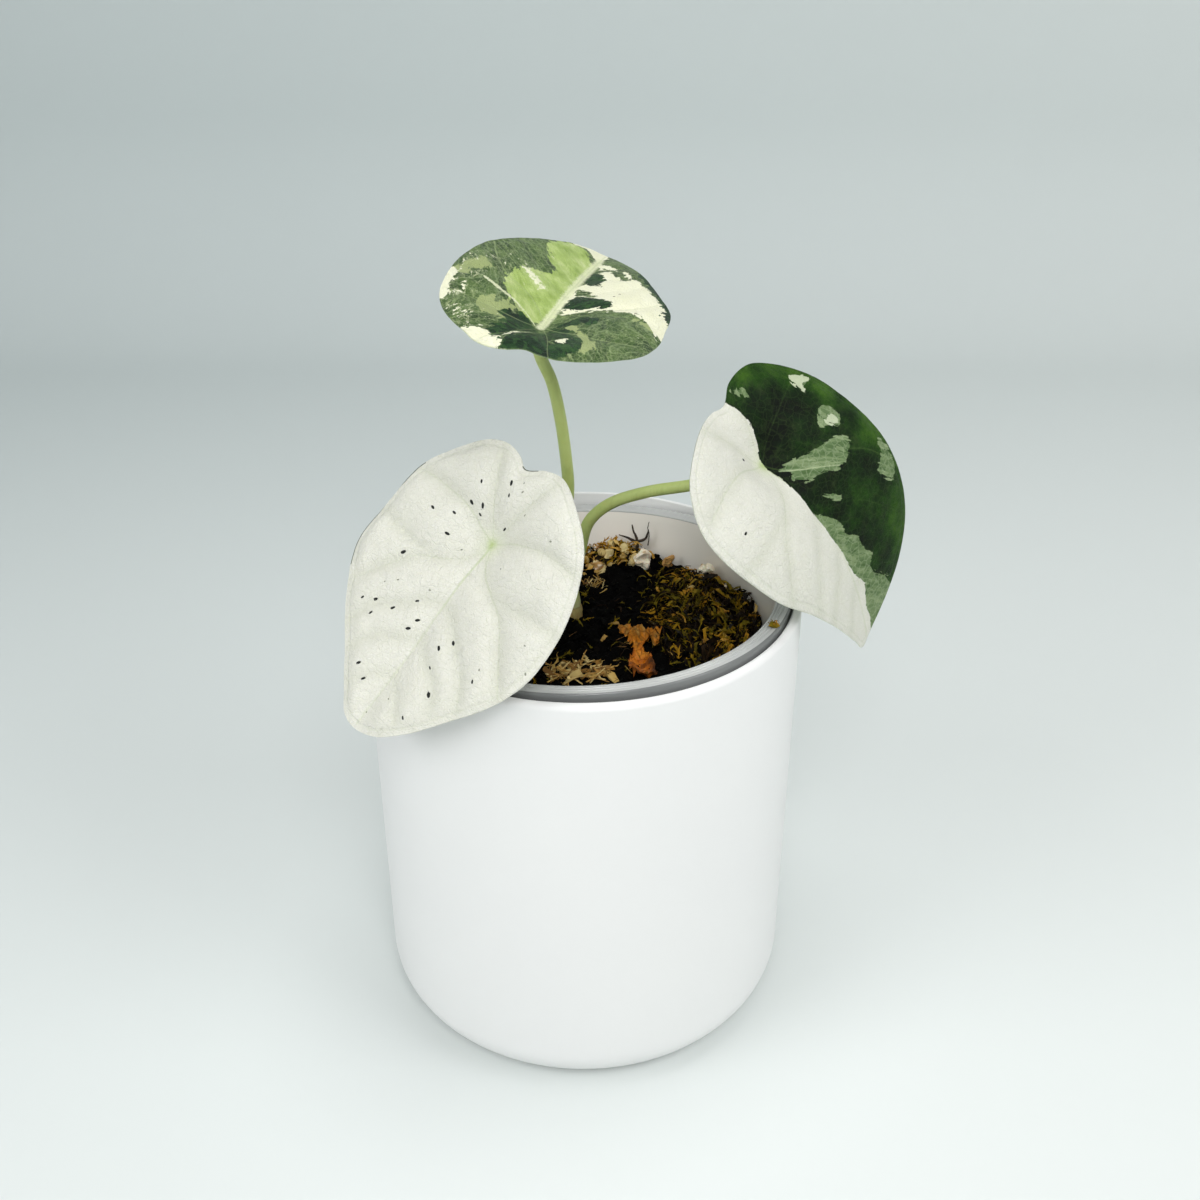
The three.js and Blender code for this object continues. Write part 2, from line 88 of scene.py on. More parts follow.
BLADE_CELLS = 180
BLADE_MIDDLE = 0.62
BLADE_EDGE = 0.36
BLADE_SIDE = 25
BLADE_AHEAD = 45
BLADE_BEHIND = 20
BLADE_CREASE = 3
BLADE_FUNNEL = 8
QUILT_REACH = 3.2
QUILT_SHARPNESS = 1.35
SPECK_REACH = 0.95

# Blade outlines run counter-clockwise from the tip, seen from above, past the notch half way.
LEFT_BLADE = {
    "at": (-18.2, -24, 132.3), "faces": (-0.493, -0.592, 0.638), "tip": (-0.536, -0.37, -0.758),
    "fold": 0.09, "arch": 1.12, "droop": -2.75, "lobe_droop": 0, "funnel": 2.2, "swing": 1, "twist": 0.5,
    "quilt": 1.65,
    "outline": (
        (0.3, 46.9), (-5.4, 45.6), (-11.5, 41), (-18.4, 33.3), (-24, 26.5), (-27.7, 19),
        (-28.7, 10.5), (-27.4, 1), (-22.9, -9), (-16.2, -15), (-8.4, -19.2), (-3.6, -18.8),
        (1.6, -16.8), (4.6, -18.5), (8.5, -19.4), (13.2, -18.2), (19.5, -13), (25.7, -5.3),
        (28.1, 5.9), (28.9, 15.9), (23.5, 25.5), (13.4, 36.4), (7.6, 42.6), (4.2, 45.8),
    ),
}
TOP_BLADE = {
    "at": (-8, 0.1, 170.4), "faces": (0.2, -0.107, 0.974), "tip": (0.283, 0.958, 0.047),
    "fold": 0.31, "arch": 4.54, "droop": 1.62, "lobe_droop": 0.37, "funnel": 1.8, "swing": 0.3,
    "twist": -1.5, "quilt": 0.85,
    "outline": (
        (-0.4, 46.1), (-4.3, 45.4), (-10.3, 40.2), (-16.7, 32.4), (-21.9, 23.5), (-23.6, 12),
        (-22.8, 1.4), (-20.3, -8.6), (-15.8, -15), (-11.5, -17.6), (-8.2, -19.4), (-4.4, -18.6),
        (0.8, -14.8), (4, -16.2), (8.5, -17.4), (14.4, -16), (19, -12.4), (22.6, -7.5),
        (24.4, 0.2), (23.9, 8.3), (22.7, 17.6), (17.6, 27), (10.2, 38.4), (3.9, 44.4),
    ),
}
RIGHT_BLADE = {
    "at": (38.6, -5.5, 141.7), "faces": (0.443, -0.584, 0.68), "tip": (0.77, -0.141, -0.622),
    "fold": 0.52, "arch": 9.27, "droop": 20.7, "lobe_droop": -1.26, "funnel": 2.5, "swing": 0.8,
    "twist": -6.6, "quilt": 0.55,
    "outline": (
        (1.7, 50.3), (-3.2, 48.3), (-9.6, 44.6), (-16.4, 39.4), (-21.1, 33.9), (-24.9, 25.3),
        (-26, 16.4), (-25.5, 6), (-24.7, -1.6), (-20.6, -9.7), (-14.6, -15.6), (-8, -16.8),
        (-3.1, -14.9), (1, -16.3), (8.5, -16.9), (15.7, -15.7), (22, -12.8), (26.9, -5.9),
        (28, 2), (26.8, 9.8), (23.5, 19.4), (17.6, 28.2), (10.9, 38.1), (5, 46.3),
    ),
}

# One side's veins on a blade 28 mm wide each side and 47 mm from stalk to tip, with how deep each lies
VEIN_REACH = (28, 47)
MIDRIB = ((0, 0), (0, 46))
SIDE_VEINS = (
    (0.75, ((0, 0), (2, -4), (4, -8.5), (6.5, -14), (8.5, -18))),
    (0.95, ((0, 0), (3, -1.3), (9, -3.8), (15.7, -5.5), (24, -5))),
    (1.0, ((0, 0), (2.4, 4.5), (7.2, 7.8), (12.9, 10.6), (18.3, 16), (24, 24.5))),
    (0.6, ((7.2, 7.8), (12.5, 8.3), (17.3, 7.8), (26.5, 8))),
    (0.8, ((0, 15.5), (5, 17.7), (9, 20.7), (13.5, 25), (17.5, 31.5))),
    (0.65, ((0, 23.8), (4.2, 26.9), (9.3, 29.6), (13, 34))),
    (0.5, ((0, 33.4), (4.5, 36.4), (7.5, 40))),
)

# Markings, in the blade's own millimetres from the stalk: +x to its left, +y towards the tip
LEFT_SPECKS = (
    (5.8, -5.7), (5.6, -3.8), (0.6, -10.5), (1.7, -12.9), (-1.3, -4.1), (8.5, -9.8),
    (15.4, 0.4), (10.4, -1.2), (9, 3.2), (17.8, 24.5), (14.8, 23.2), (6, 18.3),
    (13.8, 26.1), (10, 22.5), (2.9, 21.4), (3.6, 23.9), (-8, 20.6), (-7, 27.4),
    (8.1, 35.7), (5.1, 37.7), (-18.2, 24.1), (-9.5, 38.5),
)
LEFT_BIG_SPECKS = ((16.2, 11.8), (-6.2, 23.1), (-10.9, 31.7), (8.6, -5))
LEFT_FAINT_SPECKS = (
    (-1.3, -14.3), (-2.1, -12.6), (-5.2, -8.9), (-15.2, -7.5), (-7.4, 2.8), (15.2, 19), (12.5, 17),
    (4.7, 14.9), (4.8, 4.4), (-17.9, 21.4), (-23.9, 12.1), (-27, 16.6), (-0.2, 42.8), (-3.2, 37.6),
)
LEFT_GREEN_EDGE = ((25.4, -5.8), (28.7, 1.7), (29.2, 9.8), (29.3, 13.9), (27.2, 20.1))
LEFT_NOTCH_EDGE = ((1.8, -16.9), (-1, -17.7))

TOP_LIME = (
    ((-12.7, 8.6), (-11.1, 17.1), (-5.4, 21.3), (-8.6, 28.2), (-11.6, 36.6), (-8, 42.4), (-1.3, 38.8),
     (0.2, 15.5), (-0.3, 1.9), (-2.9, -0.4), (-10, 2.6)),
)
TOP_SMALL_LIME = (
    ((-22.8, 4.5), (-21.6, 9.6), (-19, 12.8), (-16.9, 10.6), (-18, 7.7), (-19.6, 6.5), (-18.4, 3.2),
     (-21, 2.4)),
    ((-13.1, -4.3), (-5.9, 1.1), (-7.8, -8.3), (-11.1, -8.5)),
    ((5.1, 0.5), (10.9, -4.3), (14.5, -11.9), (11.5, -14.2), (10.3, -9.4)),
    ((17.5, 7.6), (21.2, 7.2), (22.4, 4.2)),
)
TOP_CREAM = (
    ((-1, 39.2), (4.1, 36.9), (8.7, 34.3), (16.1, 25.5), (24.5, 17.6), (26, 1), (22.4, 4.2),
     (18.8, 9.3), (14, 11), (10, 9.8), (1.2, 6.8), (1.2, 24.5), (2.8, 33.4)),
    ((-8, 42.4), (-5, 48), (0.5, 48), (0.1, 38.6), (-3.3, 42.4)),
    ((-24, -9), (-19, -9.3), (-20.2, -2.2), (-21.1, 3.7), (-24.5, 5)),
    ((-13, -19), (-11.5, -16.5), (-8, -14.6), (-4.3, -14.5), (-2.9, -16.3), (-5, -21), (-10, -21)),
)
TOP_CREAM_IN_GREEN = (
    ((4.8, -10.1), (7.6, -8.3), (7.7, -11.7)),
    ((-4.6, -14.5), (-4.5, -12.4), (-2.9, -9), (-0.8, -7.4), (0.4, -5.4), (0, -6.8), (-2.6, -9.7),
     (-3.8, -12.8)),
)
TOP_DARK = (
    ((-8.6, -5), (-4.7, 0.2), (-1, -1.6), (0.3, -5.6), (-2.7, -7.9), (-4.4, -14.2), (-7, -16),
     (-7.8, -13.5), (-5.8, -6.5)),
    ((-4.3, -13.6), (0.6, -5.3), (2.6, 0.6), (10.1, -8.5), (11.2, -14.4), (5.5, -18), (-2.7, -19)),
    ((1.3, -1.8), (4.7, 3.8), (10.7, 4.8), (10, -0.1), (5.5, 1.4)),
    ((0.6, 24), (0.6, 30.3), (3.1, 30.9), (5, 23)),
    ((2.3, 14.8), (9, 14.5), (10.4, 12.1), (1.7, 7.7)),
    ((10.5, 36.5), (15.9, 27.5), (21, 18), (22.6, 12), (26, 12), (25, 20), (20, 30), (12, 40)),
)
TOP_GREY_IN_CREAM = (
    ((1.5, 35.2), (5, 33.3), (9, 29), (9.8, 30), (6, 34.6), (2.5, 36.4)),
    ((1, 19), (6.5, 16.7), (5, 15.5), (1.4, 16.5)),
    ((0.3, 45), (3.5, 42), (9, 35.8), (13.5, 30), (16, 31), (8, 44), (2, 48)),
)
TOP_BLOTCH = ((-10.4, 16.6), (-8.6, 15.2), (-4.9, 12.3))
TOP_MARBLED = ((-13, -13), (-18, -6), (-18.6, 2), (-19.5, 12), (-14, 18))
TOP_PALE_MIDRIB = ((-0.3, -0.8), (0.3, 9.3), (0, 25.5), (0, 41))
TOP_PALE_VEIN = ((-0.6, -1.1), (-3.2, 0.5), (-7, 1.9), (-10.8, 2.5), (-15.4, 4.5))
TOP_SPECKS = ((9.7, 17.8), (10.3, 20.4), (16.3, 11))

RIGHT_WHITE = (
    ((-3.8, -16), (-4.4, -11.1), (-4.2, -7.7), (-2.2, -3.3), (-0.2, -0.1), (-0.1, 3.8), (0.7, 11.6),
     (1.2, 15.4), (0.2, 24.5), (-0.9, 33.8), (-2.6, 38.2), (-1.4, 42.4), (-1.8, 46.4), (0.6, 55),
     (40, 55), (40, -30), (-3.8, -30)),
)
RIGHT_SAGE = (
    ((-0.9, 3.3), (-5.1, 4.9), (-8.4, 6.7), (-14.8, 9.5), (-16.8, 12.9), (-13.9, 14.3), (-11.1, 14.4),
     (-9.1, 14.1), (-6.7, 12), (-3.1, 10), (-1.2, 6.8), (-2.5, 6)),
    ((-19.3, -5.5), (-21.2, -4.3), (-22.5, -2.3), (-19, -2.8)),
    ((-17.2, 2.5), (-18.9, 3.4), (-19.8, 7.5), (-17.1, 8.7), (-15.8, 6.3), (-13.8, 5.1)),
    ((-23.7, 18.3), (-24.7, 21), (-23.4, 26.3), (-20.1, 27.5), (-17.7, 22.4), (-21.2, 21.5)),
    ((-3.1, 13.3), (-6.6, 18.2), (-5.9, 18.9), (-3.6, 15.1)),
    ((0.9, 16), (-3.2, 22.3), (-2.8, 24.8), (-5.3, 28.5), (-5.3, 32.1), (-6.4, 34.1), (-5.1, 37),
     (-8.2, 41.7), (-9, 47), (-1, 52), (0.5, 42.4), (0, 33.8), (1.5, 24.5)),
    ((-6.5, -15.8), (-8.7, -13.7), (-8.2, -11.3), (-6.6, -14.7)),
)
RIGHT_PALE_SAGE = (
    ((-19.6, -6.5), (-22, -4.6), (-23.4, -2), (-20.6, -2.9), (-18.4, -1.6), (-18.6, -4.4)),
    ((-18.2, 5.6), (-18.4, 8), (-16.6, 7.6), (-15.6, 5.2)),
)
RIGHT_PALE_VEIN = ((-1.2, 3.7), (-4.5, 7.7), (-7.8, 11), (-10.7, 14), (-18.1, 22.1))
RIGHT_SPECKS = ((4.1, -4.9), (20.9, 2.6))

# Stalks as points up from the crown, then square to the blade over the last stretch
STALKS = {
    "left": (LEFT_BLADE, 5, (
        (-8.8, 9.6, 98), (-8.9, 9.4, 102), (-9.2, 8, 107), (-9.8, 3, 115.5), (-12, -8, 124))),
    "top": (TOP_BLADE, 4, (
        (-6.4, 14.6, 98), (-6.3, 14.4, 102), (-4.9, 12, 114), (-3.3, 8.6, 129.3), (-3.6, 6.8, 137),
        (-4.8, 4.5, 148.8), (-6.4, 3, 157.5))),
    "right": (RIGHT_BLADE, 4, (
        (-3.2, 10.8, 98), (-3.1, 10.8, 102), (-0.9, 9.8, 112.5), (1.4, 8.2, 121.5),
        (6, 6.8, 126.6), (14, 4, 130.9), (23.5, 0.6, 134.2), (31, -1.6, 136.8))),
}
CROWN_CENTRE = (-6.1, 11.7)
CROWN_FOOT = 86
CROWN_TOP = 98.5
ROOTS = (
    ((-6.1, 11.7, 92), (-12, 15, 88), (-18, 20, 82), (-20, 22, 70)),
    ((-6.1, 11.7, 92), (0, 16, 87), (8, 19, 80), (11, 18, 66)),
    ((-6.1, 11.7, 92), (-7, 4, 87), (-10, -6, 78), (-9, -12, 62)),
    ((-6.1, 11.7, 90), (-5, 12, 82), (-2, 9, 72), (1, 6, 58)),
)

# Bits on the mix, in the cup's frame. Moss mats are x, y, half width, half length and thickness;
# then how many sprigs and curled leaves each has, and the longest of them.
MOSS_MATS = {"back": (7, 38.2, 9.5, 3.4, 3.6), "right": (27.5, 7, 12.5, 22, 3.4)}
MOSS_AMOUNTS = {"back": (30, 60, 2.2), "right": (90, 560, 3.4)}
SPRIG_KINDS = 4
SPRIG_LEAFLETS = 13
CURL_KINDS = 6
RIM_CRUMB = (40.9, -21.9)
RIM_CRUMB_CURLS = 7
# Straw heaps are x, y, half width and half length, counts of flakes, splinters and curls, size and lean
STRAW_HEAPS = {
    "front": ((-1.5, -17.2, 8, 4.2), (12, 40, 44), 2.7, 0.6),
    "tuft": ((1.6, 25.5, 3, 1.6), (3, 26, 8), 1.5, 1.2),
}
# Grains of perlite are a place, a radius and how stained each is
PERLITE = (((13.9, 33.4, -9.5), 2.3, 0.15), ((29.6, 26, -9.7), 2.1, 0.15), ((2.6, 33, -10.9), 1.4, 0.4),
           ((-3, 33.5, -10.8), 1.5, 0.3), ((20.5, 33.4, -10.6), 1.5, 0.75))
DEAD_LEAF = ((8, 3.5), (12, 1.5), (17.2, -3.2), (16.4, -5.6), (13, -5), (12.8, -9), (15, -13.5),
             (14.8, -20.5), (10.6, -20), (9.8, -14.5), (10.8, -9.5), (9.6, -3.5), (7.4, 0.4))
TWIG_BRANCHES = (
    ((12.6, 38.4, -10.5), (12.8, 38.4, -6.5), (12, 38.6, -4.2), (11.6, 38.8, -2.4)),
    ((12.6, 38.4, -7.2), (10.6, 38.4, -5.9), (8.2, 38.6, -5)),
    ((12.7, 38.4, -7), (14.8, 38.2, -6.2), (15.8, 38.2, -3.6)),
)
TWIG_STRAND = ((15.6, 38.2, -8), (15.9, 38.3, -5), (15.6, 38.4, -3.2), (16, 38.6, -1.6))


# Colours and small sums

def paint(red, green, blue):
    """A colour as a screen shows it, 0 to 255, as the light values that a shader takes."""
    def light(level):
        share = level / 255
        return share / 12.92 if share <= 0.04045 else ((share + 0.055) / 1.055) ** 2.4
    return (light(red), light(green), light(blue), 1.0)


def drawn(draw, limits):
    """A random number between two limits, or the one number given."""
    return draw.uniform(*limits) if isinstance(limits, tuple) else limits


def curve_points(points, steps, closed=False):
    """Points along a smooth curve through the given ones, with that many steps for each stretch."""
    given = [Vector(point) for point in points]
    count = len(given)
    made = []
    for k in range(count if closed else count - 1):
        here, there = given[k], given[(k + 1) % count]
        before = given[k - 1] if closed or k else here * 2 - there
        after = given[(k + 2) % count] if closed or k + 2 < count else there * 2 - here
        gaps = [math.sqrt((b - a).length) or 1 for a, b in ((before, here), (here, there), (there, after))]
        leave = ((here - before) / gaps[0] - (there - before) / (gaps[0] + gaps[1])
                 + (there - here) / gaps[1]) * gaps[1]
        arrive = ((there - here) / gaps[1] - (after - here) / (gaps[1] + gaps[2])
                  + (after - there) / gaps[2]) * gaps[1]
        for step in range(steps):
            t = step / steps
            made.append(here + leave * t + (there * 3 - here * 3 - leave * 2 - arrive) * t ** 2
                        + (here * 2 - there * 2 + leave + arrive) * t ** 3)
    if not closed:
        made.append(given[-1])
    return made


def line_distance(x, y, line):
    """Distance of each point from a line of points."""
    nearest = np.full(x.shape, 1e9)
    for (ax, ay), (bx, by) in zip(line, line[1:]):
        dx, dy = bx - ax, by - ay
        along = np.clip(((x - ax) * dx + (y - ay) * dy) / (dx * dx + dy * dy), 0, 1)
        nearest = np.minimum(nearest, np.hypot(x - ax - along * dx, y - ay - along * dy))
    return nearest


def depth_inside(x, y, outline):
    """How far each point lies inside a closed outline; negative outside."""
    ring = tuple(outline) + (outline[0],)
    inside = np.zeros(x.shape, bool)
    for (ax, ay), (bx, by) in zip(ring, ring[1:]):
        if ay != by:
            crosses = (ay > y) != (by > y)
            inside ^= crosses & (x < ax + (bx - ax) * (y - ay) / (by - ay))
    return np.where(inside, 1, -1) * line_distance(x, y, ring)


def deepest_of(x, y, outlines):
    """The same for several outlines taken together, each rounded off a little."""
    return np.max([depth_inside(x, y, curve_points(outline, 3, True)) for outline in outlines], axis=0)


# Shader maths

class Signal:
    """One output of a shader node. Arithmetic on it adds Math nodes."""

    def __init__(self, finish, socket):
        self.finish = finish
        self.socket = socket

    def __add__(self, other):
        return self.finish.calculate("ADD", self, other)

    __radd__ = __add__

    def __sub__(self, other):
        return self.finish.calculate("SUBTRACT", self, other)

    def __rsub__(self, other):
        return self.finish.calculate("SUBTRACT", other, self)

    def __mul__(self, other):
        return self.finish.calculate("MULTIPLY", self, other)

    __rmul__ = __mul__


class Finish:
    """A material of nodes that ends in one Principled shader. Colours are given as a screen shows them."""

    def __init__(self, name, constants):
        self.material = bpy.data.materials.new(name)
        self.material.use_nodes = True
        self.tree = self.material.node_tree
        self.set(constants)
        self.place = self.find_place()

    def find_place(self):
        """What patterns follow: the place in the part's own frame, in metres."""
        return self.node("ShaderNodeTexCoord", {}, {}, "Object")

    def node(self, kind, settings, values, output=0):
        """Adds a node: its settings first, then the values or links of its sockets."""
        made = self.tree.nodes.new(kind)
        for name, value in settings.items():
            if name == "stops":
                self.set_stops(made.color_ramp.elements, value)
            else:
                setattr(made, name, value)
        for name, value in values.items():
            self.feed(made.inputs[name], value)
        return Signal(self, made.outputs[output])

    def feed(self, socket, value):
        if isinstance(value, Signal):
            self.tree.links.new(value.socket, socket)
        else:
            socket.default_value = value

    def set(self, values):
        for name, value in values.items():
            self.feed(self.tree.nodes["Principled BSDF"].inputs[name], value)
        return self

    def set_stops(self, elements, stops):
        while len(elements) < len(stops):
            elements.new(1)
        for element, (position, colour) in zip(elements, stops):
            element.position = position
            element.color = paint(*colour)

    def calculate(self, operation, *values):
        return self.node("ShaderNodeMath", {"operation": operation}, dict(enumerate(values)))

    def vector(self, operation, *values, output=0):
        return self.node("ShaderNodeVectorMath", {"operation": operation}, dict(enumerate(values)), output)

    def attribute(self, name, output="Fac"):
        return self.node("ShaderNodeAttribute", {"attribute_name": name}, {}, output)

    def noise(self, scale, detail=3, rough=0.5, on=None, output="Fac"):
        return self.node("ShaderNodeTexNoise", {}, {
            "Vector": on or self.place, "Scale": scale, "Detail": detail, "Roughness": rough}, output)

    def drifted(self, vector, scale, detail, amount):
        """Moves a place by a noise's colour, so that a pattern on it wanders."""
        colour = self.noise(scale, detail, output="Color")
        centred = self.vector("SUBTRACT", colour, (0.5, 0.5, 0.5))
        return self.vector("ADD", vector, self.vector("MULTIPLY", centred, (amount, amount, amount)))

    def cells(self, scale, on=None, output="Distance", feature="F1"):
        return self.node("ShaderNodeTexVoronoi", {"feature": feature}, {
            "Vector": on or self.place, "Scale": scale}, output)

    def cell_edges(self, scale, on=None):
        return self.cells(scale, on, feature="DISTANCE_TO_EDGE")

    def cell_tone(self, scale, on=None):
        """One random value for each cell of a cell pattern."""
        return self.node("ShaderNodeSeparateColor", {}, {"Color": self.cells(scale, on, "Color")}, "Red")

    def between(self, signal, low, high):
        """0 below low, 1 above high and a soft step between them."""
        return self.node("ShaderNodeMapRange", {"interpolation_type": "SMOOTHSTEP"}, {
            "Value": signal, "From Min": low, "From Max": high})

    def below(self, signal, high, low=0.0):
        return 1 - self.between(signal, low, high)

    def near(self, signal, centre, reach):
        """1 where a signal has that value, falling to 0 at that reach either side."""
        return self.below(self.calculate("ABSOLUTE", signal - centre), reach)

    def mix(self, share, first, second):
        first, second = (side if isinstance(side, Signal) else paint(*side) for side in (first, second))
        return self.node("ShaderNodeMix", {"data_type": "RGBA"}, {0: share, 6: first, 7: second}, 2)

    def layers(self, colour, *coats):
        """A colour with others laid over it in turn, each given as its share and itself."""
        for share, coat in coats:
            colour = self.mix(share, colour, coat)
        return colour

    def ramp(self, signal, *stops):
        return self.node("ShaderNodeValToRGB", {"stops": stops}, {"Fac": signal})

    def wear(self, colour, rough, height, depth_mm, strength=1.0):
        """Gives the shader its colour, its roughness and a relief that bends the light."""
        relief = self.node("ShaderNodeBump", {}, {
            "Height": height, "Distance": depth_mm * MM, "Strength": strength})
        return self.set({"Base Color": colour, "Roughness": rough, "Normal": relief})


# Meshes

def layer(mesh_data, name):
    """The layer that keeps one number for each point."""
    layers = mesh_data.verts.layers.float
    return layers.get(name) or layers.new(name)


def mesh_of(name, mesh_data, smooth=True):
    for face in mesh_data.faces:
        face.smooth = smooth
    mesh = bpy.data.meshes.new(name)
    mesh_data.to_mesh(mesh)
    mesh_data.free()
    return mesh


def add_object(name, data):
    made = bpy.data.objects.new(name, data)
    bpy.context.scene.collection.objects.link(made)
    return made


def in_metres(mesh_data):
    bmesh.ops.scale(mesh_data, vec=(MM, MM, MM), verts=mesh_data.verts)


def finish_piece(name, mesh_data, finish, node="", place=None, sharp_above=40):
    """Makes an object of a mesh in millimetres, at its place in the part's frame."""
    if place is not None:
        bmesh.ops.transform(mesh_data, matrix=place, verts=mesh_data.verts)
    in_metres(mesh_data)
    mesh = mesh_of(name, mesh_data)
    mesh.set_sharp_from_angle(angle=math.radians(sharp_above))
    mesh.materials.append(finish.material)
    piece = add_object(name, mesh)
    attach(piece, "root")
    if node:
        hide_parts(node)
    return piece


def arc(x, y, radius, start, end, steps):
    angles = [math.radians(start + (end - start) * k / steps) for k in range(steps + 1)]
    return [(x + radius * math.cos(angle), y + radius * math.sin(angle)) for angle in angles]


def spin_profile(profile, steps):
    """A turned solid from radius and height points that start and end on the axis."""
    mesh_data = bmesh.new()
    verts = [mesh_data.verts.new((radius, 0, height)) for radius, height in profile]
    edges = [mesh_data.edges.new(pair) for pair in zip(verts, verts[1:])]
    bmesh.ops.spin(mesh_data, geom=verts + edges, cent=(0, 0, 0), axis=(0, 0, 1),
                   angle=2 * math.pi, steps=steps, use_merge=True)
    bmesh.ops.remove_doubles(mesh_data, verts=mesh_data.verts, dist=1e-4)
    bmesh.ops.recalc_face_normals(mesh_data, faces=mesh_data.faces)
    return mesh_data


def extrude_loop(mesh_data, edges):
    """Extrudes a loop of edges where it is, and gives its new points and edges."""
    grown = bmesh.ops.extrude_edge_only(mesh_data, edges=edges)["geom"]
    ring = [item for item in grown if isinstance(item, bmesh.types.BMVert)]
    points = set(ring)
    loop = [item for item in grown if isinstance(item, bmesh.types.BMEdge) and points.issuperset(item.verts)]
    return ring, loop


def double_sheet(mesh_data, cells):
    """Two square grids in one place, joined round their edge. Gives the second one's points."""
    bmesh.ops.create_grid(mesh_data, x_segments=cells, y_segments=cells, size=1)
    grown = bmesh.ops.extrude_face_region(mesh_data, geom=mesh_data.faces[:], use_keep_orig=True)["geom"]
    return {item for item in grown if isinstance(item, bmesh.types.BMVert)}


def frames_along(path):
    """A turned frame at each point of a path, carried along it without twisting."""
    side = None
    frames = []
    for k, point in enumerate(path):
        ahead = (path[min(k + 1, len(path) - 1)] - path[max(k - 1, 0)]).normalized()
        side = ahead.orthogonal() if side is None else side - ahead * side.dot(ahead)
        side.normalize()
        turned = Matrix((side, ahead.cross(side), ahead)).transposed().to_4x4()
        frames.append(Matrix.Translation(point) @ turned)
    return frames


def sweep(mesh_data, path, radii, sides):
    """A round skin along a path, closed at both ends, with a radius for each point or from end to end."""
    steps = len(path) - 1
    if isinstance(radii, tuple):
        radii = [radii[0] + (radii[1] - radii[0]) * k / steps for k in range(len(path))]
    along = layer(mesh_data, "along")
    frames = [frame_here @ Matrix.Diagonal((radius, radius, radius, 1))
              for frame_here, radius in zip(frames_along(path), radii)]
    ring = bmesh.ops.create_circle(mesh_data, radius=1, segments=sides, matrix=frames[0])["verts"]
    edges = list({edge for vert in ring for edge in vert.link_edges})
    bmesh.ops.contextual_create(mesh_data, geom=edges)
    for k in range(1, len(frames)):
        ring, edges = extrude_loop(mesh_data, edges)
        bmesh.ops.transform(mesh_data, matrix=frames[k] @ frames[k - 1].inverted(), verts=ring)
        for vert in ring:
            vert[along] = k / steps
    bmesh.ops.contextual_create(mesh_data, geom=edges)


def roughen(verts, size, amount, seed=0.0):
    """Pushes points about by a smooth noise whose lumps are about that size."""
    offset = Vector((seed, seed * 0.7, -seed))
    for vert in verts:
        vert.co += noise.noise_vector(vert.co / size + offset) * amount


def small_shape(name, build, *given):
    """A mesh to scatter, made by a function that fills a bmesh."""
    mesh_data = bmesh.new()
    layer(mesh_data, "tone")
    build(mesh_data, *given)
    return mesh_of(name, mesh_data)


def scatter(mesh_data, shape, placements):
    """Adds a copy of a small shape at each matrix, with its own tone from 0 to 1, a batch at a time."""
    for start in range(0, len(placements), SCATTER_BATCH):
        batch = bmesh.new()
        tone = layer(batch, "tone")
        for matrix, shade in placements[start:start + SCATTER_BATCH]:
            done = len(batch.verts)
            batch.from_mesh(shape)
            batch.verts.ensure_lookup_table()
            added = batch.verts[done:]
            bmesh.ops.transform(batch, matrix=matrix, verts=added)
            for vert in added:
                vert[tone] = shade
        mesh = mesh_of("batch", batch)
        mesh_data.from_mesh(mesh)
        bpy.data.meshes.remove(mesh)


def disc_place(a, b):
    """Carries a point of a square to a disc, as a share of its radius and of a full turn."""
    if a == 0 and b == 0:
        return 0.0, 0.0
    if abs(a) > abs(b):
        share, angle = a, math.pi / 4 * b / a
    else:
        share, angle = b, math.pi / 2 - math.pi / 4 * a / b
    if share < 0:
        share, angle = -share, angle + math.pi
    return share, (angle / (2 * math.pi)) % 1


# Camera, light and floor

def set_camera():
    camera = add_object("camera", bpy.data.cameras.new("camera"))
    camera.location = (0.0039, -0.280, 0.267)
    camera.rotation_euler = (math.radians(60), 0, 0)
    camera.data.lens = 42
    camera.data.sensor_width = 36
    camera.data.clip_start = 0.01
    bpy.context.scene.camera = camera


def soft_light(name, place, size, watts, colour=(1, 1, 1)):
    lamp = bpy.data.lights.new(name, "AREA")
    lamp.shape = "DISK"
    lamp.size = size
    lamp.energy = watts
    lamp.color = colour
    light = add_object(name, lamp)
    light.location = place
    light.rotation_euler = (LIGHTS_AIM - Vector(place)).to_track_quat("-Z", "Y").to_euler()


def set_lights():
    soft_light("soft_box_above", (0.02, 0.02, 0.95), 0.4, 1.9, (1, 1, 0.99))
    soft_light("soft_box_front", (0.05, -0.6, 0.7), 0.36, 2.8)
    soft_light("soft_box_right", (0.6, -0.32, 0.62), 0.5, 2.05)
    soft_light("soft_box_left", (-0.6, -0.34, 0.5), 0.5, 1.9)
    world = bpy.data.worlds.new("studio")
    world.use_nodes = True
    background = world.node_tree.nodes["Background"]
    background.inputs["Color"].default_value = (0.95, 0.98, 0.98, 1)
    background.inputs["Strength"].default_value = 0.36
    bpy.context.scene.world = world
    bpy.context.scene.view_settings.view_transform = "Standard"


def floor_finish():
    finish = Finish("studio_card", {"Roughness": 0.75, "Specular IOR Level": 0.25})
    x, y = (finish.node("ShaderNodeSeparateXYZ", {}, {"Vector": finish.place}, axis) for axis in "XY")
    # Darker towards the back and the left: painted shade standing in for the lamps' light falling off with
    # distance.
    painted_falloff = finish.between(y * 0.8 - x * 0.65 + finish.noise(2.2) * 0.06, -0.3, 0.75)
    return finish.set({"Base Color": finish.mix(painted_falloff, (227, 231, 229), (194, 202, 202))})


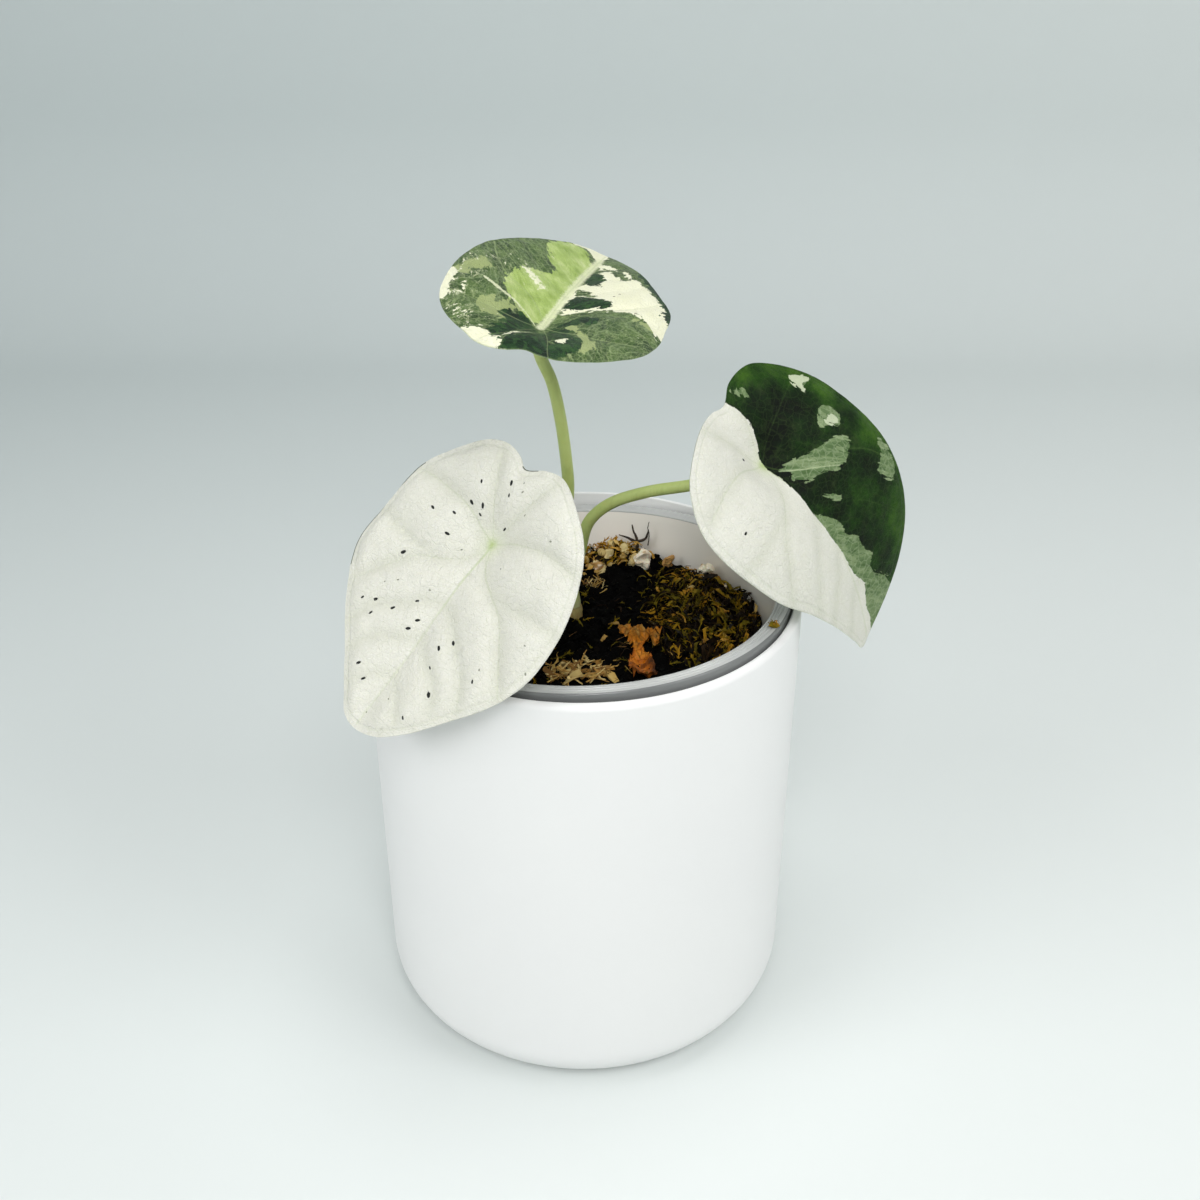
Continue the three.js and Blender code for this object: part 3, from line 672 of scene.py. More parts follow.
def lay_floor():
    """A pale floor that turns up into a low wall all round, well away from the plant."""
    deep = (FLOOR_BACK - FLOOR_FRONT) / 2
    outline = []
    for k, (x, y) in enumerate(((1, 1), (-1, 1), (-1, -1), (1, -1))):
        outline += arc(x * (FLOOR_HALF - FLOOR_CORNER), y * (deep - FLOOR_CORNER), FLOOR_CORNER,
                       k * 90, k * 90 + 90, 8)
    mesh_data = bmesh.new()
    edges = mesh_data.faces.new([mesh_data.verts.new((x, y, 0)) for x, y in outline]).edges[:]
    bend = [(out + FLOOR_BORDER, up) for out, up in arc(0, FLOOR_BEND, FLOOR_BEND, -90, 0, 16)]
    reach = 0
    for out, up in bend + [(bend[-1][0], WALL_TOP)]:
        ring, edges = extrude_loop(mesh_data, edges)
        wider = ((FLOOR_HALF + out) / (FLOOR_HALF + reach), (deep + out) / (deep + reach), 1)
        bmesh.ops.scale(mesh_data, vec=wider, verts=ring)
        for vert in ring:
            vert.co.z = up
        reach = out
    bmesh.ops.translate(mesh_data, vec=(0, (FLOOR_BACK + FLOOR_FRONT) / 2, 0), verts=mesh_data.verts)
    in_metres(mesh_data)
    floor = add_object("floor", mesh_of("floor", mesh_data))
    floor.data.materials.append(floor_finish().material)


# Cachepot

def pot_finish():
    finish = Finish("matte_white_pot", {"Specular IOR Level": 0.4})
    glaze = finish.mix(finish.noise(26, 4), (232, 232, 232), (236, 236, 235))
    return finish.wear(glaze, 0.46 + finish.noise(60) * 0.12, finish.noise(1400, 2), 0.03, 0.5)


def make_pot():
    inner = POT_RADIUS - POT_WALL
    corner = POT_RADIUS - POT_CORNER
    inner_corner = inner - corner
    profile = [(0, 0), (corner * 0.5, 0)]
    profile += arc(corner, POT_CORNER, POT_CORNER, -90, 0, 24)
    profile += [(POT_RADIUS, z) for z in (30, 55, 80)]
    profile += arc(POT_RADIUS - POT_LIP, POT_HEIGHT - POT_LIP, POT_LIP, 0, 90, 10)
    profile += arc(inner + 0.3, POT_HEIGHT - 0.3, 0.3, 90, 180, 4)
    profile += [(inner, z) for z in (80, 50)]
    profile += arc(corner, POT_FLOOR + inner_corner, inner_corner, 0, -90, 12)
    profile += [(corner * 0.5, POT_FLOOR), (0, POT_FLOOR)]
    finish_piece("cachepot", spin_profile(profile, 180), pot_finish(), "pot")


# Nursery cup

CUP_TILT = (Matrix.Rotation(math.radians(-CUP_FRONT_UP), 4, "X")
            @ Matrix.Rotation(math.radians(-CUP_RIGHT_UP), 4, "Y"))
CUP_PLACE = Matrix.Translation(CUP_RIM_CENTRE) @ CUP_TILT
CUP_LEAN = CUP_TILT[2][2]
CUP_DEPTH = (CUP_RIM_CENTRE[2] - POT_FLOOR - GAP - CUP_FOOT * math.sqrt(1 - CUP_LEAN ** 2)) / CUP_LEAN
CUP_TAPER = (CUP_RIM_INNER - CUP_FOOT + CUP_WALL) / (CUP_DEPTH - CUP_WALL)


def cup_inside(z):
    """Inner radius of the cup at a height under its rim."""
    return CUP_RIM_INNER + CUP_TAPER * min(z + CUP_RIM_ROUND, 0)


def cup_finish():
    finish = Finish("hazy_clear_cup", {"Specular IOR Level": 0.5})
    band = finish.attribute("rim_band")
    haze = finish.noise(45)
    wall = finish.mix(haze, (246, 240, 231), (251, 247, 241))
    # The rim is painted in greys that stand in for light and shade on the clear plastic: its outer skirt dark
    # with painted shade, its top a paler painted grey.
    skirt_painted_shade = finish.mix(haze, (104, 106, 106), (136, 138, 137))
    top = finish.mix(haze, (196, 198, 197), (218, 219, 217))
    wall_and_painted_rim = finish.layers(wall, (finish.between(band, 0, 0.5), skirt_painted_shade), (finish.between(band, 0.5, 1), top))
    finish.set({"Alpha": 1 - finish.between(band, 0, 1) * 0.25})
    return finish.wear(wall_and_painted_rim, 0.2, finish.noise(120, 2), 0.05, 0.4)


def make_cup():
    foot = -CUP_DEPTH
    inner_foot = foot + CUP_WALL + CUP_CHAMFER
    outer = CUP_RIM_OUTER - CUP_RIM_ROUND
    wall = CUP_RIM_INNER + CUP_WALL
    under = -CUP_WALL - CUP_RIM_ROUND
    profile = [(0, foot), (CUP_FOOT - CUP_CHAMFER, foot), (CUP_FOOT, foot + CUP_CHAMFER)]
    profile += [(wall - 0.3, under - 2), (wall, under), (outer, under), (outer, -CUP_RIM_SKIRT),
                (CUP_RIM_OUTER, -CUP_RIM_SKIRT)]
    profile += arc(outer, -CUP_RIM_ROUND, CUP_RIM_ROUND, 0, 90, 6)
    for radius in (outer - 0.7, outer - 1.5, outer - 2.3):
        profile += [(radius + 0.15, 0), (radius, -0.16), (radius - 0.15, -0.16), (radius - 0.3, 0)]
    profile += arc(CUP_RIM_INNER + CUP_RIM_ROUND, -CUP_RIM_ROUND, CUP_RIM_ROUND, 90, 180, 6)
    profile += [(cup_inside(z), z) for z in (-1.2, -2.4, inner_foot)]
    profile += [(cup_inside(inner_foot) - CUP_CHAMFER, foot + CUP_WALL), (0, foot + CUP_WALL)]
    mesh_data = spin_profile(profile, 160)
    band = layer(mesh_data, "rim_band")
    for vert in mesh_data.verts:
        out = vert.co.xy.length
        if out > CUP_RIM_INNER + 0.02 and vert.co.z > -CUP_RIM_SKIRT - 0.1:
            vert[band] = 0.5 if out > outer + 0.2 or vert.co.z < -CUP_RIM_ROUND - 0.2 else 1.0
    drill_drains(finish_piece("nursery_cup", mesh_data, cup_finish(), "liner_cup", CUP_PLACE))


def drill_drains(piece):
    """Cuts the drain holes through the cup's foot."""
    mesh_data = bmesh.new()
    for k in range(CUP_DRAINS):
        turn = Matrix.Rotation(2 * math.pi * k / CUP_DRAINS, 4, "Z")
        place = CUP_PLACE @ turn @ Matrix.Translation((CUP_DRAIN_CIRCLE, 0, -CUP_DEPTH))
        bmesh.ops.create_cone(mesh_data, cap_ends=True, segments=24, radius1=CUP_DRAIN_RADIUS,
                              radius2=CUP_DRAIN_RADIUS, depth=6, matrix=place)
    in_metres(mesh_data)
    drill = add_object("drill", mesh_of("drill", mesh_data, smooth=False))
    cut = piece.modifiers.new("drains", "BOOLEAN")
    cut.operation = "DIFFERENCE"
    cut.solver = "EXACT"
    cut.object = drill
    bpy.context.view_layer.update()
    drilled = bpy.data.meshes.new_from_object(piece.evaluated_get(bpy.context.evaluated_depsgraph_get()))
    piece.modifiers.clear()
    piece.data = drilled
    bpy.data.objects.remove(drill)


# Growing mix and what lies on it

def mix_height(x, y):
    """Height of the mix in the cup's frame."""
    lumps = (math.sin(0.9 * x + 1.3) * math.sin(0.8 * y + 0.4)
             + 0.7 * math.sin(1.7 * x - 0.6 * y) + 0.5 * math.sin(1.1 * x + 2.3 * y + 2))
    raised = sum(height * math.exp(-((x - cx) / sx) ** 2 - ((y - cy) / sy) ** 2)
                 for (cx, cy), (sx, sy), height in MIX_MOUNDS)
    return MIX_LEVEL + MIX_LUMP * lumps + raised


def mat_height(x, y):
    """Height of the mix or of the moss mat that lies on it there."""
    height = mix_height(x, y)
    for cx, cy, half_x, half_y, thick in MOSS_MATS.values():
        share = math.hypot((x - cx) / half_x, (y - cy) / half_y)
        if share < 1:
            height = max(height, mix_height(x, y) + 0.6 + (thick - 0.8) * (1 - share ** 2))
    return height


def spread(draw, count, patch=None):
    """Places spread over the mix, or over an oval patch given as x, y, half width and half length."""
    reach = PATCH_REACH if patch else MIX_REACH
    cx, cy, half_x, half_y = patch or (0, 0, reach, reach)
    places = []
    while len(places) < count:
        radius, angle = math.sqrt(draw.random()), draw.random() * 2 * math.pi
        x, y = cx + radius * math.cos(angle) * half_x, cy + radius * math.sin(angle) * half_y
        if math.hypot(x, y) < reach and math.hypot(x - CROWN_CENTRE[0] + 0.4, y - CROWN_CENTRE[1]) > 5.5:
            places.append((x, y))
    return places


def tumbled(draw, x, y, lift, size, lean=0.5, combed=False):
    """A matrix that lays a small shape on the mix, turned at random or lying in drifts."""
    heading = 3 * noise.noise(Vector((x, y, 5)) / 9) + draw.gauss(1.9, 0.5) if combed else draw.uniform(0, 7)
    turn = Euler((draw.uniform(-lean, lean), draw.uniform(-lean, lean), heading))
    return (Matrix.Translation((x, y, mat_height(x, y) + lift)) @ turn.to_matrix().to_4x4()
            @ Matrix.Diagonal((size, size, size, 1)))


def strew(mesh_data, draw, shape, places, lift, size, lean, tone):
    """Scatters a small shape over places. Its lift, size and tone are numbers or pairs of limits."""
    scatter(mesh_data, shape, [
        (tumbled(draw, x, y, drawn(draw, lift), drawn(draw, size), lean), drawn(draw, tone))
        for x, y in places])


def peat_finish():
    finish = Finish("damp_peat", {"Specular IOR Level": 0.06})
    grain = finish.noise(700, 5, 0.65)
    shade = finish.ramp(grain * 0.45 + finish.attribute("tone") * 0.6, (0.2, (1, 1, 1)), (0.48, (4, 3, 2)),
                        (0.72, (18, 11, 6)), (1.0, (72, 45, 22)))
    return finish.wear(shade, 0.7 + grain * 0.25, finish.noise(1500, 4, 0.7), 0.25)


def lump_shape(mesh_data):
    bmesh.ops.create_icosphere(mesh_data, subdivisions=2, radius=1)
    roughen(mesh_data.verts, 0.9, 0.55, 3.1)


def crumb_shape(mesh_data):
    """The same in few faces, for the hundreds of crumbs."""
    bmesh.ops.create_uvsphere(mesh_data, u_segments=7, v_segments=5, radius=1)
    roughen(mesh_data.verts, 0.9, 0.55, 3.1)


def flake_shape(mesh_data):
    """A torn flat flake of bark, two long and a third as wide."""
    bmesh.ops.create_grid(mesh_data, x_segments=5, y_segments=2, size=1)
    bmesh.ops.scale(mesh_data, vec=(1, 0.34, 1), verts=mesh_data.verts)
    roughen(mesh_data.verts, 0.8, 0.3, 5.3)
    bmesh.ops.solidify(mesh_data, geom=mesh_data.faces, thickness=0.14)


def splinter_shape(mesh_data):
    """A thin straw two long, slightly bent and flattened."""
    path = curve_points([(-1, 0, 0), (-0.3, 0.04, 0.03), (0.4, 0.02, 0.06), (1, -0.06, 0.02)], 2)
    sweep(mesh_data, path, (0.1, 0.05), 5)
    bmesh.ops.scale(mesh_data, vec=(1, 1, 0.5), verts=mesh_data.verts)


def hair_shape(mesh_data):
    path = curve_points([(-1, 0.1, -0.1), (-0.4, -0.2, 0.12), (0.3, 0.15, 0.16), (1, -0.1, -0.08)], 3)
    sweep(mesh_data, path, (0.03, 0.014), 3)


def curl_shape(mesh_data, seed):
    """A dry moss leaf two long: a narrow blade that cups, bends and twists to a frayed end."""
    draw = random.Random(seed)
    bend, twist, width = draw.uniform(-0.5, 0.8), draw.uniform(-2.2, 2.2), draw.uniform(0.14, 0.32)
    bmesh.ops.create_grid(mesh_data, x_segments=8, y_segments=2, size=1)
    for vert in mesh_data.verts:
        along, side = vert.co.x, vert.co.y
        ragged = 0.8 + 0.9 * noise.noise(Vector((along * 2.6, side * 4, seed * 3.1)))
        half = width * ragged * (1 - 0.8 * abs(along) ** 2.2)
        turn = twist * along
        lift = bend * (1 - along ** 2) + 0.3 * half * side ** 2
        vert.co = (along, side * half * math.cos(turn), lift + side * half * math.sin(turn))
    roughen(mesh_data.verts, 0.45, 0.22, seed * 1.7)
    bmesh.ops.solidify(mesh_data, geom=mesh_data.faces, thickness=0.05)


def sprig_shape(mesh_data, seed):
    """A moss sprig two long: a bent stem with scale-like leaflets laid round it."""
    draw = random.Random(seed)
    path = curve_points([(-1, 0, 0), (-0.3, draw.uniform(-0.15, 0.15), 0.1),
                         (0.4, draw.uniform(-0.2, 0.2), 0.12), (1, 0, draw.uniform(-0.1, 0.2))], 3)
    sweep(mesh_data, path, (0.06, 0.03), 4)
    frames = frames_along(path)
    for k in range(SPRIG_LEAFLETS):
        spot = frames[min(int(k / SPRIG_LEAFLETS * len(frames)), len(frames) - 1)]
        around = Matrix.Rotation(k * 2.4 + draw.uniform(-0.3, 0.3), 4, "Z")
        out = Matrix.Rotation(draw.uniform(0.5, 1.0), 4, "Y")
        size = draw.uniform(0.75, 1.15) * (1.1 - 0.4 * abs(k / 6 - 1))
        flat = Matrix.Diagonal((0.3 * size, 1.15 * size, size, 1))
        place = spot @ around @ out @ flat @ Matrix.Translation((0, 0, 0.3))
        bmesh.ops.create_cone(mesh_data, cap_ends=True, segments=5, radius1=0.11, radius2=0.02,
                              depth=0.6, matrix=place)


def make_mix(finish):
    draw = random.Random(41)
    mesh_data = bmesh.new()
    tone = layer(mesh_data, "tone")
    bmesh.ops.create_grid(mesh_data, x_segments=MIX_CELLS, y_segments=MIX_CELLS, size=1)
    reach = cup_inside(MIX_LEVEL) - GAP
    for vert in mesh_data.verts:
        share, turn = disc_place(vert.co.x, vert.co.y)
        angle = 2 * math.pi * turn
        x, y = share * reach * math.cos(angle), share * reach * math.sin(angle)
        clumps = noise.fractal(Vector((x, y, 0)) / 3.2, 0.8, 2.1, 5) * 0.9 * (1 - share ** 10)
        vert.co = (x, y, mix_height(x, y) + clumps)
        vert[tone] = 0.25 + 0.25 * noise.noise(Vector((x, y, 9)) / 2.0)
    foot = -CUP_DEPTH + CUP_WALL + GAP
    foot_reach = cup_inside(foot + CUP_CHAMFER) - GAP
    edges = [edge for edge in mesh_data.edges if edge.is_boundary]
    for radius, z in ((foot_reach, foot + CUP_CHAMFER), (foot_reach - CUP_CHAMFER, foot)):
        ring, edges = extrude_loop(mesh_data, edges)
        for vert in ring:
            vert.co = (*(vert.co.xy.normalized() * radius), z)
    bmesh.ops.edgeloop_fill(mesh_data, edges=edges)
    bmesh.ops.recalc_face_normals(mesh_data, faces=mesh_data.faces)
    finish_piece("peat", mesh_data, finish, "growing_mix", CUP_PLACE)

    crumbs = bmesh.new()
    scatter(crumbs, small_shape("crumb", crumb_shape), [
        (tumbled(draw, x, y, 0.1, draw.uniform(0.25, 0.55) * draw.choice((1, 1, 1.6)), 1.5),
         draw.uniform(0, 0.5)) for x, y in spread(draw, 1300)])
    scatter(crumbs, small_shape("flake", flake_shape), [
        (tumbled(draw, x, y, 0.4, draw.uniform(0.8, 1.9), 0.7), draw.uniform(0, 0.7) ** 1.5)
        for x, y in spread(draw, 300)])
    hair = small_shape("hair", hair_shape)
    strew(crumbs, draw, hair, spread(draw, 160), 0.6, (1.5, 3.5), 0.6, (0.3, 1))
    finish_piece("peat_crumbs", crumbs, finish, "", CUP_PLACE)


def moss_finish():
    finish = Finish("dry_moss", {"Specular IOR Level": 0.15})
    grain = finish.noise(420, 4, 0.6)
    shade = finish.ramp(finish.attribute("tone") * 0.8 + (grain - 0.3) * 0.45,
                        (0.06, (6, 4, 1)), (0.22, (40, 24, 4)), (0.36, (104, 92, 12)), (0.5, (150, 112, 18)),
                        (0.64, (172, 122, 34)), (0.82, (206, 170, 92)), (0.98, (230, 210, 154)))
    return finish.wear(shade, 0.6 + grain * 0.3, finish.noise(1300), 0.15)


def mat_surface(mesh_data, mat):
    """The lumpy body of a moss mat, closed underneath."""
    cx, cy, half_x, half_y, thick = mat
    tone = layer(mesh_data, "tone")
    upper = double_sheet(mesh_data, MAT_CELLS)
    for vert in mesh_data.verts:
        share, turn = disc_place(vert.co.x, vert.co.y)
        angle = 2 * math.pi * turn
        wobble = 1 + 0.12 * noise.noise(Vector((math.cos(angle) * 2, math.sin(angle) * 2, cx)))
        x = cx + half_x * share * wobble * math.cos(angle)
        y = cy + half_y * share * wobble * math.sin(angle)
        inside = min(1, (cup_inside(MIX_LEVEL) - 0.7) / math.hypot(x, y))
        x, y = x * inside, y * inside
        lumps = noise.fractal(Vector((x, y, cx)) / 1.9, 0.7, 2.2, 4)
        rise = 0.2 + (thick - 1.1) * (1 - share ** 2) + 0.9 * lumps * (1 - share ** 6)
        vert.co = (x, y, mix_height(x, y) + (max(rise, -0.5) if vert in upper else -0.8))
        vert[tone] = 0.02 + 0.16 * max(lumps, 0)
    bmesh.ops.recalc_face_normals(mesh_data, faces=mesh_data.faces)


def shade_of_moss(draw, x, y):
    """Browns, olive and gold in drifts over the mix, with the palest moss along the back."""
    drift = noise.noise(Vector((x, y, 2)) / 3.6)
    back = max(0, (y - 27) / 10)
    return min(1, max(0.02, draw.gauss(0.2 + 0.5 * drift + 0.4 * back, 0.17) + (draw.random() < 0.06) * 0.3))


def make_moss(finish):
    draw = random.Random(7)
    sprigs = [small_shape(f"sprig_{k}", sprig_shape, k) for k in range(SPRIG_KINDS)]
    curls = [small_shape(f"curl_{k}", curl_shape, k) for k in range(CURL_KINDS)]
    for name, mat in MOSS_MATS.items():
        sprig_count, curl_count, longest = MOSS_AMOUNTS[name]
        mesh_data = bmesh.new()
        mat_surface(mesh_data, mat)
        for shapes, count, shortest in ((sprigs, sprig_count, 1.3), (curls, curl_count, 0.6)):
            places = spread(draw, count, (mat[0], mat[1], mat[2] * 1.05, mat[3] * 1.05))
            for k, shape in enumerate(shapes):
                scatter(mesh_data, shape, [
                    (tumbled(draw, x, y, draw.uniform(-0.3, 1.1), draw.uniform(shortest, longest), 0.6, True),
                     shade_of_moss(draw, x, y)) for x, y in places[k::len(shapes)]])
        finish_piece(f"moss_mat_{name}", mesh_data, finish, f"moss_{name}", CUP_PLACE)

    loose = bmesh.new()
    for curl in curls:
        brown = spread(draw, 20) + spread(draw, 10, (19, 24, 6, 8))
        strew(loose, draw, curl, brown, 0.5, (0.9, 1.8), 0.6, (0.05, 0.4))
        golden = spread(draw, 12, (0, 36, 14, 4)) + spread(draw, 5, (30, 26, 6, 4))
        strew(loose, draw, curl, golden, 0.8, (0.9, 2.0), 0.8, (0.4, 1))
    for sprig in sprigs:
        strew(loose, draw, sprig, spread(draw, 18), 0.5, (1.2, 2.2), 0.5, (0.1, 0.5))
    finish_piece("loose_moss", loose, finish, "", CUP_PLACE)

    crumb = bmesh.new()
    x, y = RIM_CRUMB
    spot = Matrix.Translation((x, y, 0.75)) @ Matrix.Diagonal((1.25, 0.9, 0.7, 1))
    scatter(crumb, small_shape("crumb_of_moss", lump_shape), [(spot, 0.34)])
    for k in range(RIM_CRUMB_CURLS):
        turn = Euler((draw.uniform(-0.5, 0.5), draw.uniform(-0.5, 0.5), k * 0.9)).to_matrix().to_4x4()
        spot = Matrix.Translation((x + 0.5 * math.cos(k), y + 0.5 * math.sin(k), 0.9)) @ turn
        scatter(crumb, curls[k % CURL_KINDS], [(spot @ Matrix.Diagonal((0.9, 1.2, 1.2, 1)), 0.24 + 0.06 * k)])
    finish_piece("rim_crumb", crumb, finish, "moss_crumb", CUP_PLACE)


def perlite_finish():
    finish = Finish("perlite_grain", {"Subsurface Weight": 0.1, "Subsurface Scale": 0.0006})
    stain = finish.between(finish.noise(420, 4) + finish.attribute("tone") * 0.5, 0.56, 0.8)
    chalk = finish.mix(stain, (246, 236, 214), (180, 138, 78))
    return finish.wear(chalk, 0.85, finish.cells(1900) + finish.noise(900, 4) * 0.6, 0.2)


def make_perlite(finish):
    for k, (place, radius, stain) in enumerate(PERLITE):
        mesh_data = bmesh.new()
        tone = layer(mesh_data, "tone")
        bmesh.ops.create_icosphere(mesh_data, subdivisions=4, radius=radius)
        bmesh.ops.scale(mesh_data, vec=(0.9, 0.75, 0.9), verts=mesh_data.verts)
        roughen(mesh_data.verts, radius * 0.75, radius * 0.62, k * 3.7)
        roughen(mesh_data.verts, radius * 0.22, radius * 0.1, k + 0.5)
        for vert in mesh_data.verts:
            vert[tone] = stain
        bmesh.ops.translate(mesh_data, vec=place, verts=mesh_data.verts)
        finish_piece(f"perlite_grain_{k + 1}", mesh_data, finish, f"perlite_{k + 1}", CUP_PLACE)
    draw = random.Random(23)
    dust = bmesh.new()
    places = spread(draw, 6) + spread(draw, 16, (-2, 34.5, 14, 3.5))
    strew(dust, draw, small_shape("chalk", lump_shape), places, 0.5, (0.3, 0.8), 1.5, (0.1, 0.7))
    finish_piece("perlite_dust", dust, finish, "", CUP_PLACE)


def straw_finish():
    finish = Finish("dry_straw", {"Specular IOR Level": 0.35})
    grain = finish.noise(800, 4, 0.6)
    shade = finish.ramp(finish.attribute("tone") * 0.8 + grain * 0.3, (0.1, (82, 52, 18)),
                        (0.38, (142, 102, 40)), (0.66, (184, 152, 82)), (1.0, (218, 198, 142)))
    return finish.wear(shade, 0.55 + grain * 0.3, grain, 0.2)


def make_straw(finish):
    draw = random.Random(17)
    flake = small_shape("straw_flake", flake_shape)
    splinter = small_shape("splinter", splinter_shape)
    curl = small_shape("straw_curl", curl_shape, 4)
    lump = small_shape("tan_lump", lump_shape)
    for name, (patch, counts, size, lean) in STRAW_HEAPS.items():
        heap = bmesh.new()
        for shape, count in zip((flake, splinter, curl), counts):
            strew(heap, draw, shape, spread(draw, count, patch), (0.4, 1.9), (0.5 * size, 1.2 * size), lean,
                  (0.05, 1))
        finish_piece(f"straw_heap_{name}", heap, finish, f"straw_{name}", CUP_PLACE)
    loose = bmesh.new()
    strew(loose, draw, lump, spread(draw, 34, (-1, 35, 13, 3.5)), 0.5, (0.5, 1.3), 1.5, (0.4, 1.2))
    places = spread(draw, 22, (-2, 35, 16, 4)) + spread(draw, 12)
    strew(loose, draw, flake, places, 0.9, (0.8, 1.7), 0.8, (0.1, 0.8))
    strew(loose, draw, splinter, spread(draw, 30), 0.8, (1.2, 2.6), 0.5, (0, 0.6))
    finish_piece("loose_straw", loose, finish, "", CUP_PLACE)


def dead_leaf_finish():
    finish = Finish("shed_leaf", {"Specular IOR Level": 0.3})
    grain = finish.noise(300, 5, 0.65)
    veins = finish.below(finish.cell_edges(600), 0.1)
    shade = finish.ramp(grain * 0.5 + finish.attribute("tone") * 0.5,
                        (0.24, (70, 36, 6)), (0.42, (178, 98, 14)), (0.54, (204, 128, 30)),
                        (0.64, (150, 102, 34)), (0.8, (216, 178, 96)))
    return finish.wear(finish.mix(veins * 0.35, shade, (92, 44, 12)), 0.6, grain + veins * 0.4, 0.3)


def make_dead_leaf():
    """A shed, crumpled blade: its outline filled, cut fine, frayed at the edge and folded up."""
    mesh_data = bmesh.new()
    tone = layer(mesh_data, "tone")
    edge = curve_points(DEAD_LEAF, 5, True)
    face = mesh_data.faces.new([mesh_data.verts.new(point.to_3d()) for point in edge])
    bmesh.ops.triangulate(mesh_data, faces=[face])
    for _ in range(3):
        bmesh.ops.subdivide_edges(mesh_data, edges=mesh_data.edges, cuts=1, use_grid_fill=True)
    for vert in mesh_data.verts:
        fray = noise.noise_vector(vert.co / 1.1) * 0.9
        x, y = vert.co.x + fray.x, vert.co.y + fray.y
        crease = 1 - 2.2 * abs(noise.noise(Vector((x, y * 0.7, 4)) / 3.6))
        fine = 1 - 2.2 * abs(noise.noise(Vector((x, y, 8)) / 1.5))
        vert.co = (x, y, mat_height(x, y) + 0.85 + max(-0.1, crease * 2.4 + fine * 0.8 - 0.9))
        vert[tone] = 0.5 + 0.3 * noise.noise(Vector((x, y, 2)) / 1.8) + 0.03 * (y + 8)
    bmesh.ops.solidify(mesh_data, geom=mesh_data.faces, thickness=0.1)
    finish_piece("shed_leaf_scrap", mesh_data, dead_leaf_finish(), "dead_leaf", CUP_PLACE)


def twig_finish():
    finish = Finish("dark_root_end", {})
    grain = finish.noise(900, 4)
    bark = finish.ramp(grain, (0.3, (20, 15, 11)), (0.55, (48, 36, 24)), (0.8, (96, 76, 46)))
    return finish.wear(bark, 0.7, grain, 0.2)


def make_twig():
    mesh_data = bmesh.new()
    for points in TWIG_BRANCHES:
        sweep(mesh_data, curve_points(points, 6), (0.5, 0.16), 8)
    sweep(mesh_data, curve_points(TWIG_STRAND, 5), (0.14, 0.09), 6)
    roughen(mesh_data.verts, 0.8, 0.12)
    finish_piece("root_end", mesh_data, twig_finish(), "twig", CUP_PLACE)


# Crown and stalks

def crown_finish():
    finish = Finish("papery_crown", {"Specular IOR Level": 0.4})
    fibres = finish.noise(900, 4, 0.6, finish.vector("MULTIPLY", finish.place, (1, 1, 0.12)))
    skin = finish.ramp(finish.noise(160, 4) * 0.6 + fibres * 0.4, (0.3, (84, 58, 32)), (0.5, (150, 122, 74)),
                       (0.66, (178, 166, 106)), (0.85, (198, 198, 142)))
    return finish.wear(skin, 0.55, fibres, 0.2)


def make_crown():
    middle = (CROWN_FOOT + CROWN_TOP) / 2
    profile = [(0, CROWN_FOOT), (3.8, CROWN_FOOT + 0.8), (5.6, CROWN_FOOT + 2.6), (6.3, middle - 1.5),
               (6.3, middle + 1.5), (5.9, CROWN_TOP - 2.4), (5.2, CROWN_TOP - 0.6), (3.6, CROWN_TOP + 0.1),
               (0, CROWN_TOP + 0.2)]
    smooth = [(max(point.x, 0), point.y) for point in curve_points(profile, 4)]
    mesh_data = spin_profile([profile[0], *smooth[1:-1], profile[-1]], 64)
    bmesh.ops.translate(mesh_data, vec=(*CROWN_CENTRE, 0), verts=mesh_data.verts)
    roughen(mesh_data.verts, 3.5, 0.5, 2.2)
    for points in ROOTS:
        path = [point + noise.noise_vector(point / 4) * 0.5 for point in curve_points(points, 8)]
        sweep(mesh_data, path, (1.25, 0.7), 12)
    finish_piece("corm_and_roots", mesh_data, crown_finish(), "crown")


def stalk_finish():
    finish = Finish("olive_stalk", {
        "Specular IOR Level": 0.45, "Subsurface Weight": 0.08, "Subsurface Scale": 0.001})
    streaks = finish.noise(1100, 3, 0.6, finish.vector("MULTIPLY", finish.place, (1, 1, 0.06)))
    green = finish.layers(
        finish.mix(finish.noise(260), (174, 190, 108), (194, 208, 134)),
        (finish.between(streaks, 0.5, 0.8) * 0.35, (146, 160, 84)),
        (finish.below(finish.attribute("along"), 0.16), (202, 202, 146)))
    return finish.wear(green, 0.36 + streaks * 0.16, streaks, 0.06)


def blade_axes(blade):
    """Across, towards the tip and up from a blade, as three unit vectors."""
    up = Vector(blade["faces"]).normalized()
    ahead = Vector(blade["tip"])
    ahead = (ahead - up * ahead.dot(up)).normalized()
    return ahead.cross(up), ahead, up


def stalk_radius(share):
    """Flared where it clasps the crown and where it meets the blade."""
    sheath = 1.05 * math.exp(-(share / 0.07) ** 2)
    shoulder = 0.55 * math.exp(-((1 - share) / 0.025) ** 2)
    return 1.42 - 0.12 * share + sheath + shoulder


def make_stalks():
    finish = stalk_finish()
    for name, (blade, approach, points) in STALKS.items():
        up = blade_axes(blade)[2]
        last = [tuple(Vector(blade["at"]) - up * reach) for reach in (approach + 0.8, 0.25)]
        path = curve_points([*points, *last], 9)
        lengths = [0.0]
        for here, there in zip(path, path[1:]):
            lengths.append(lengths[-1] + (there - here).length)
        mesh_data = bmesh.new()
        sweep(mesh_data, path, [stalk_radius(length / lengths[-1]) for length in lengths], 28)
        finish_piece(f"stalk_{name}", mesh_data, finish, f"petiole_{name}")


# Blades

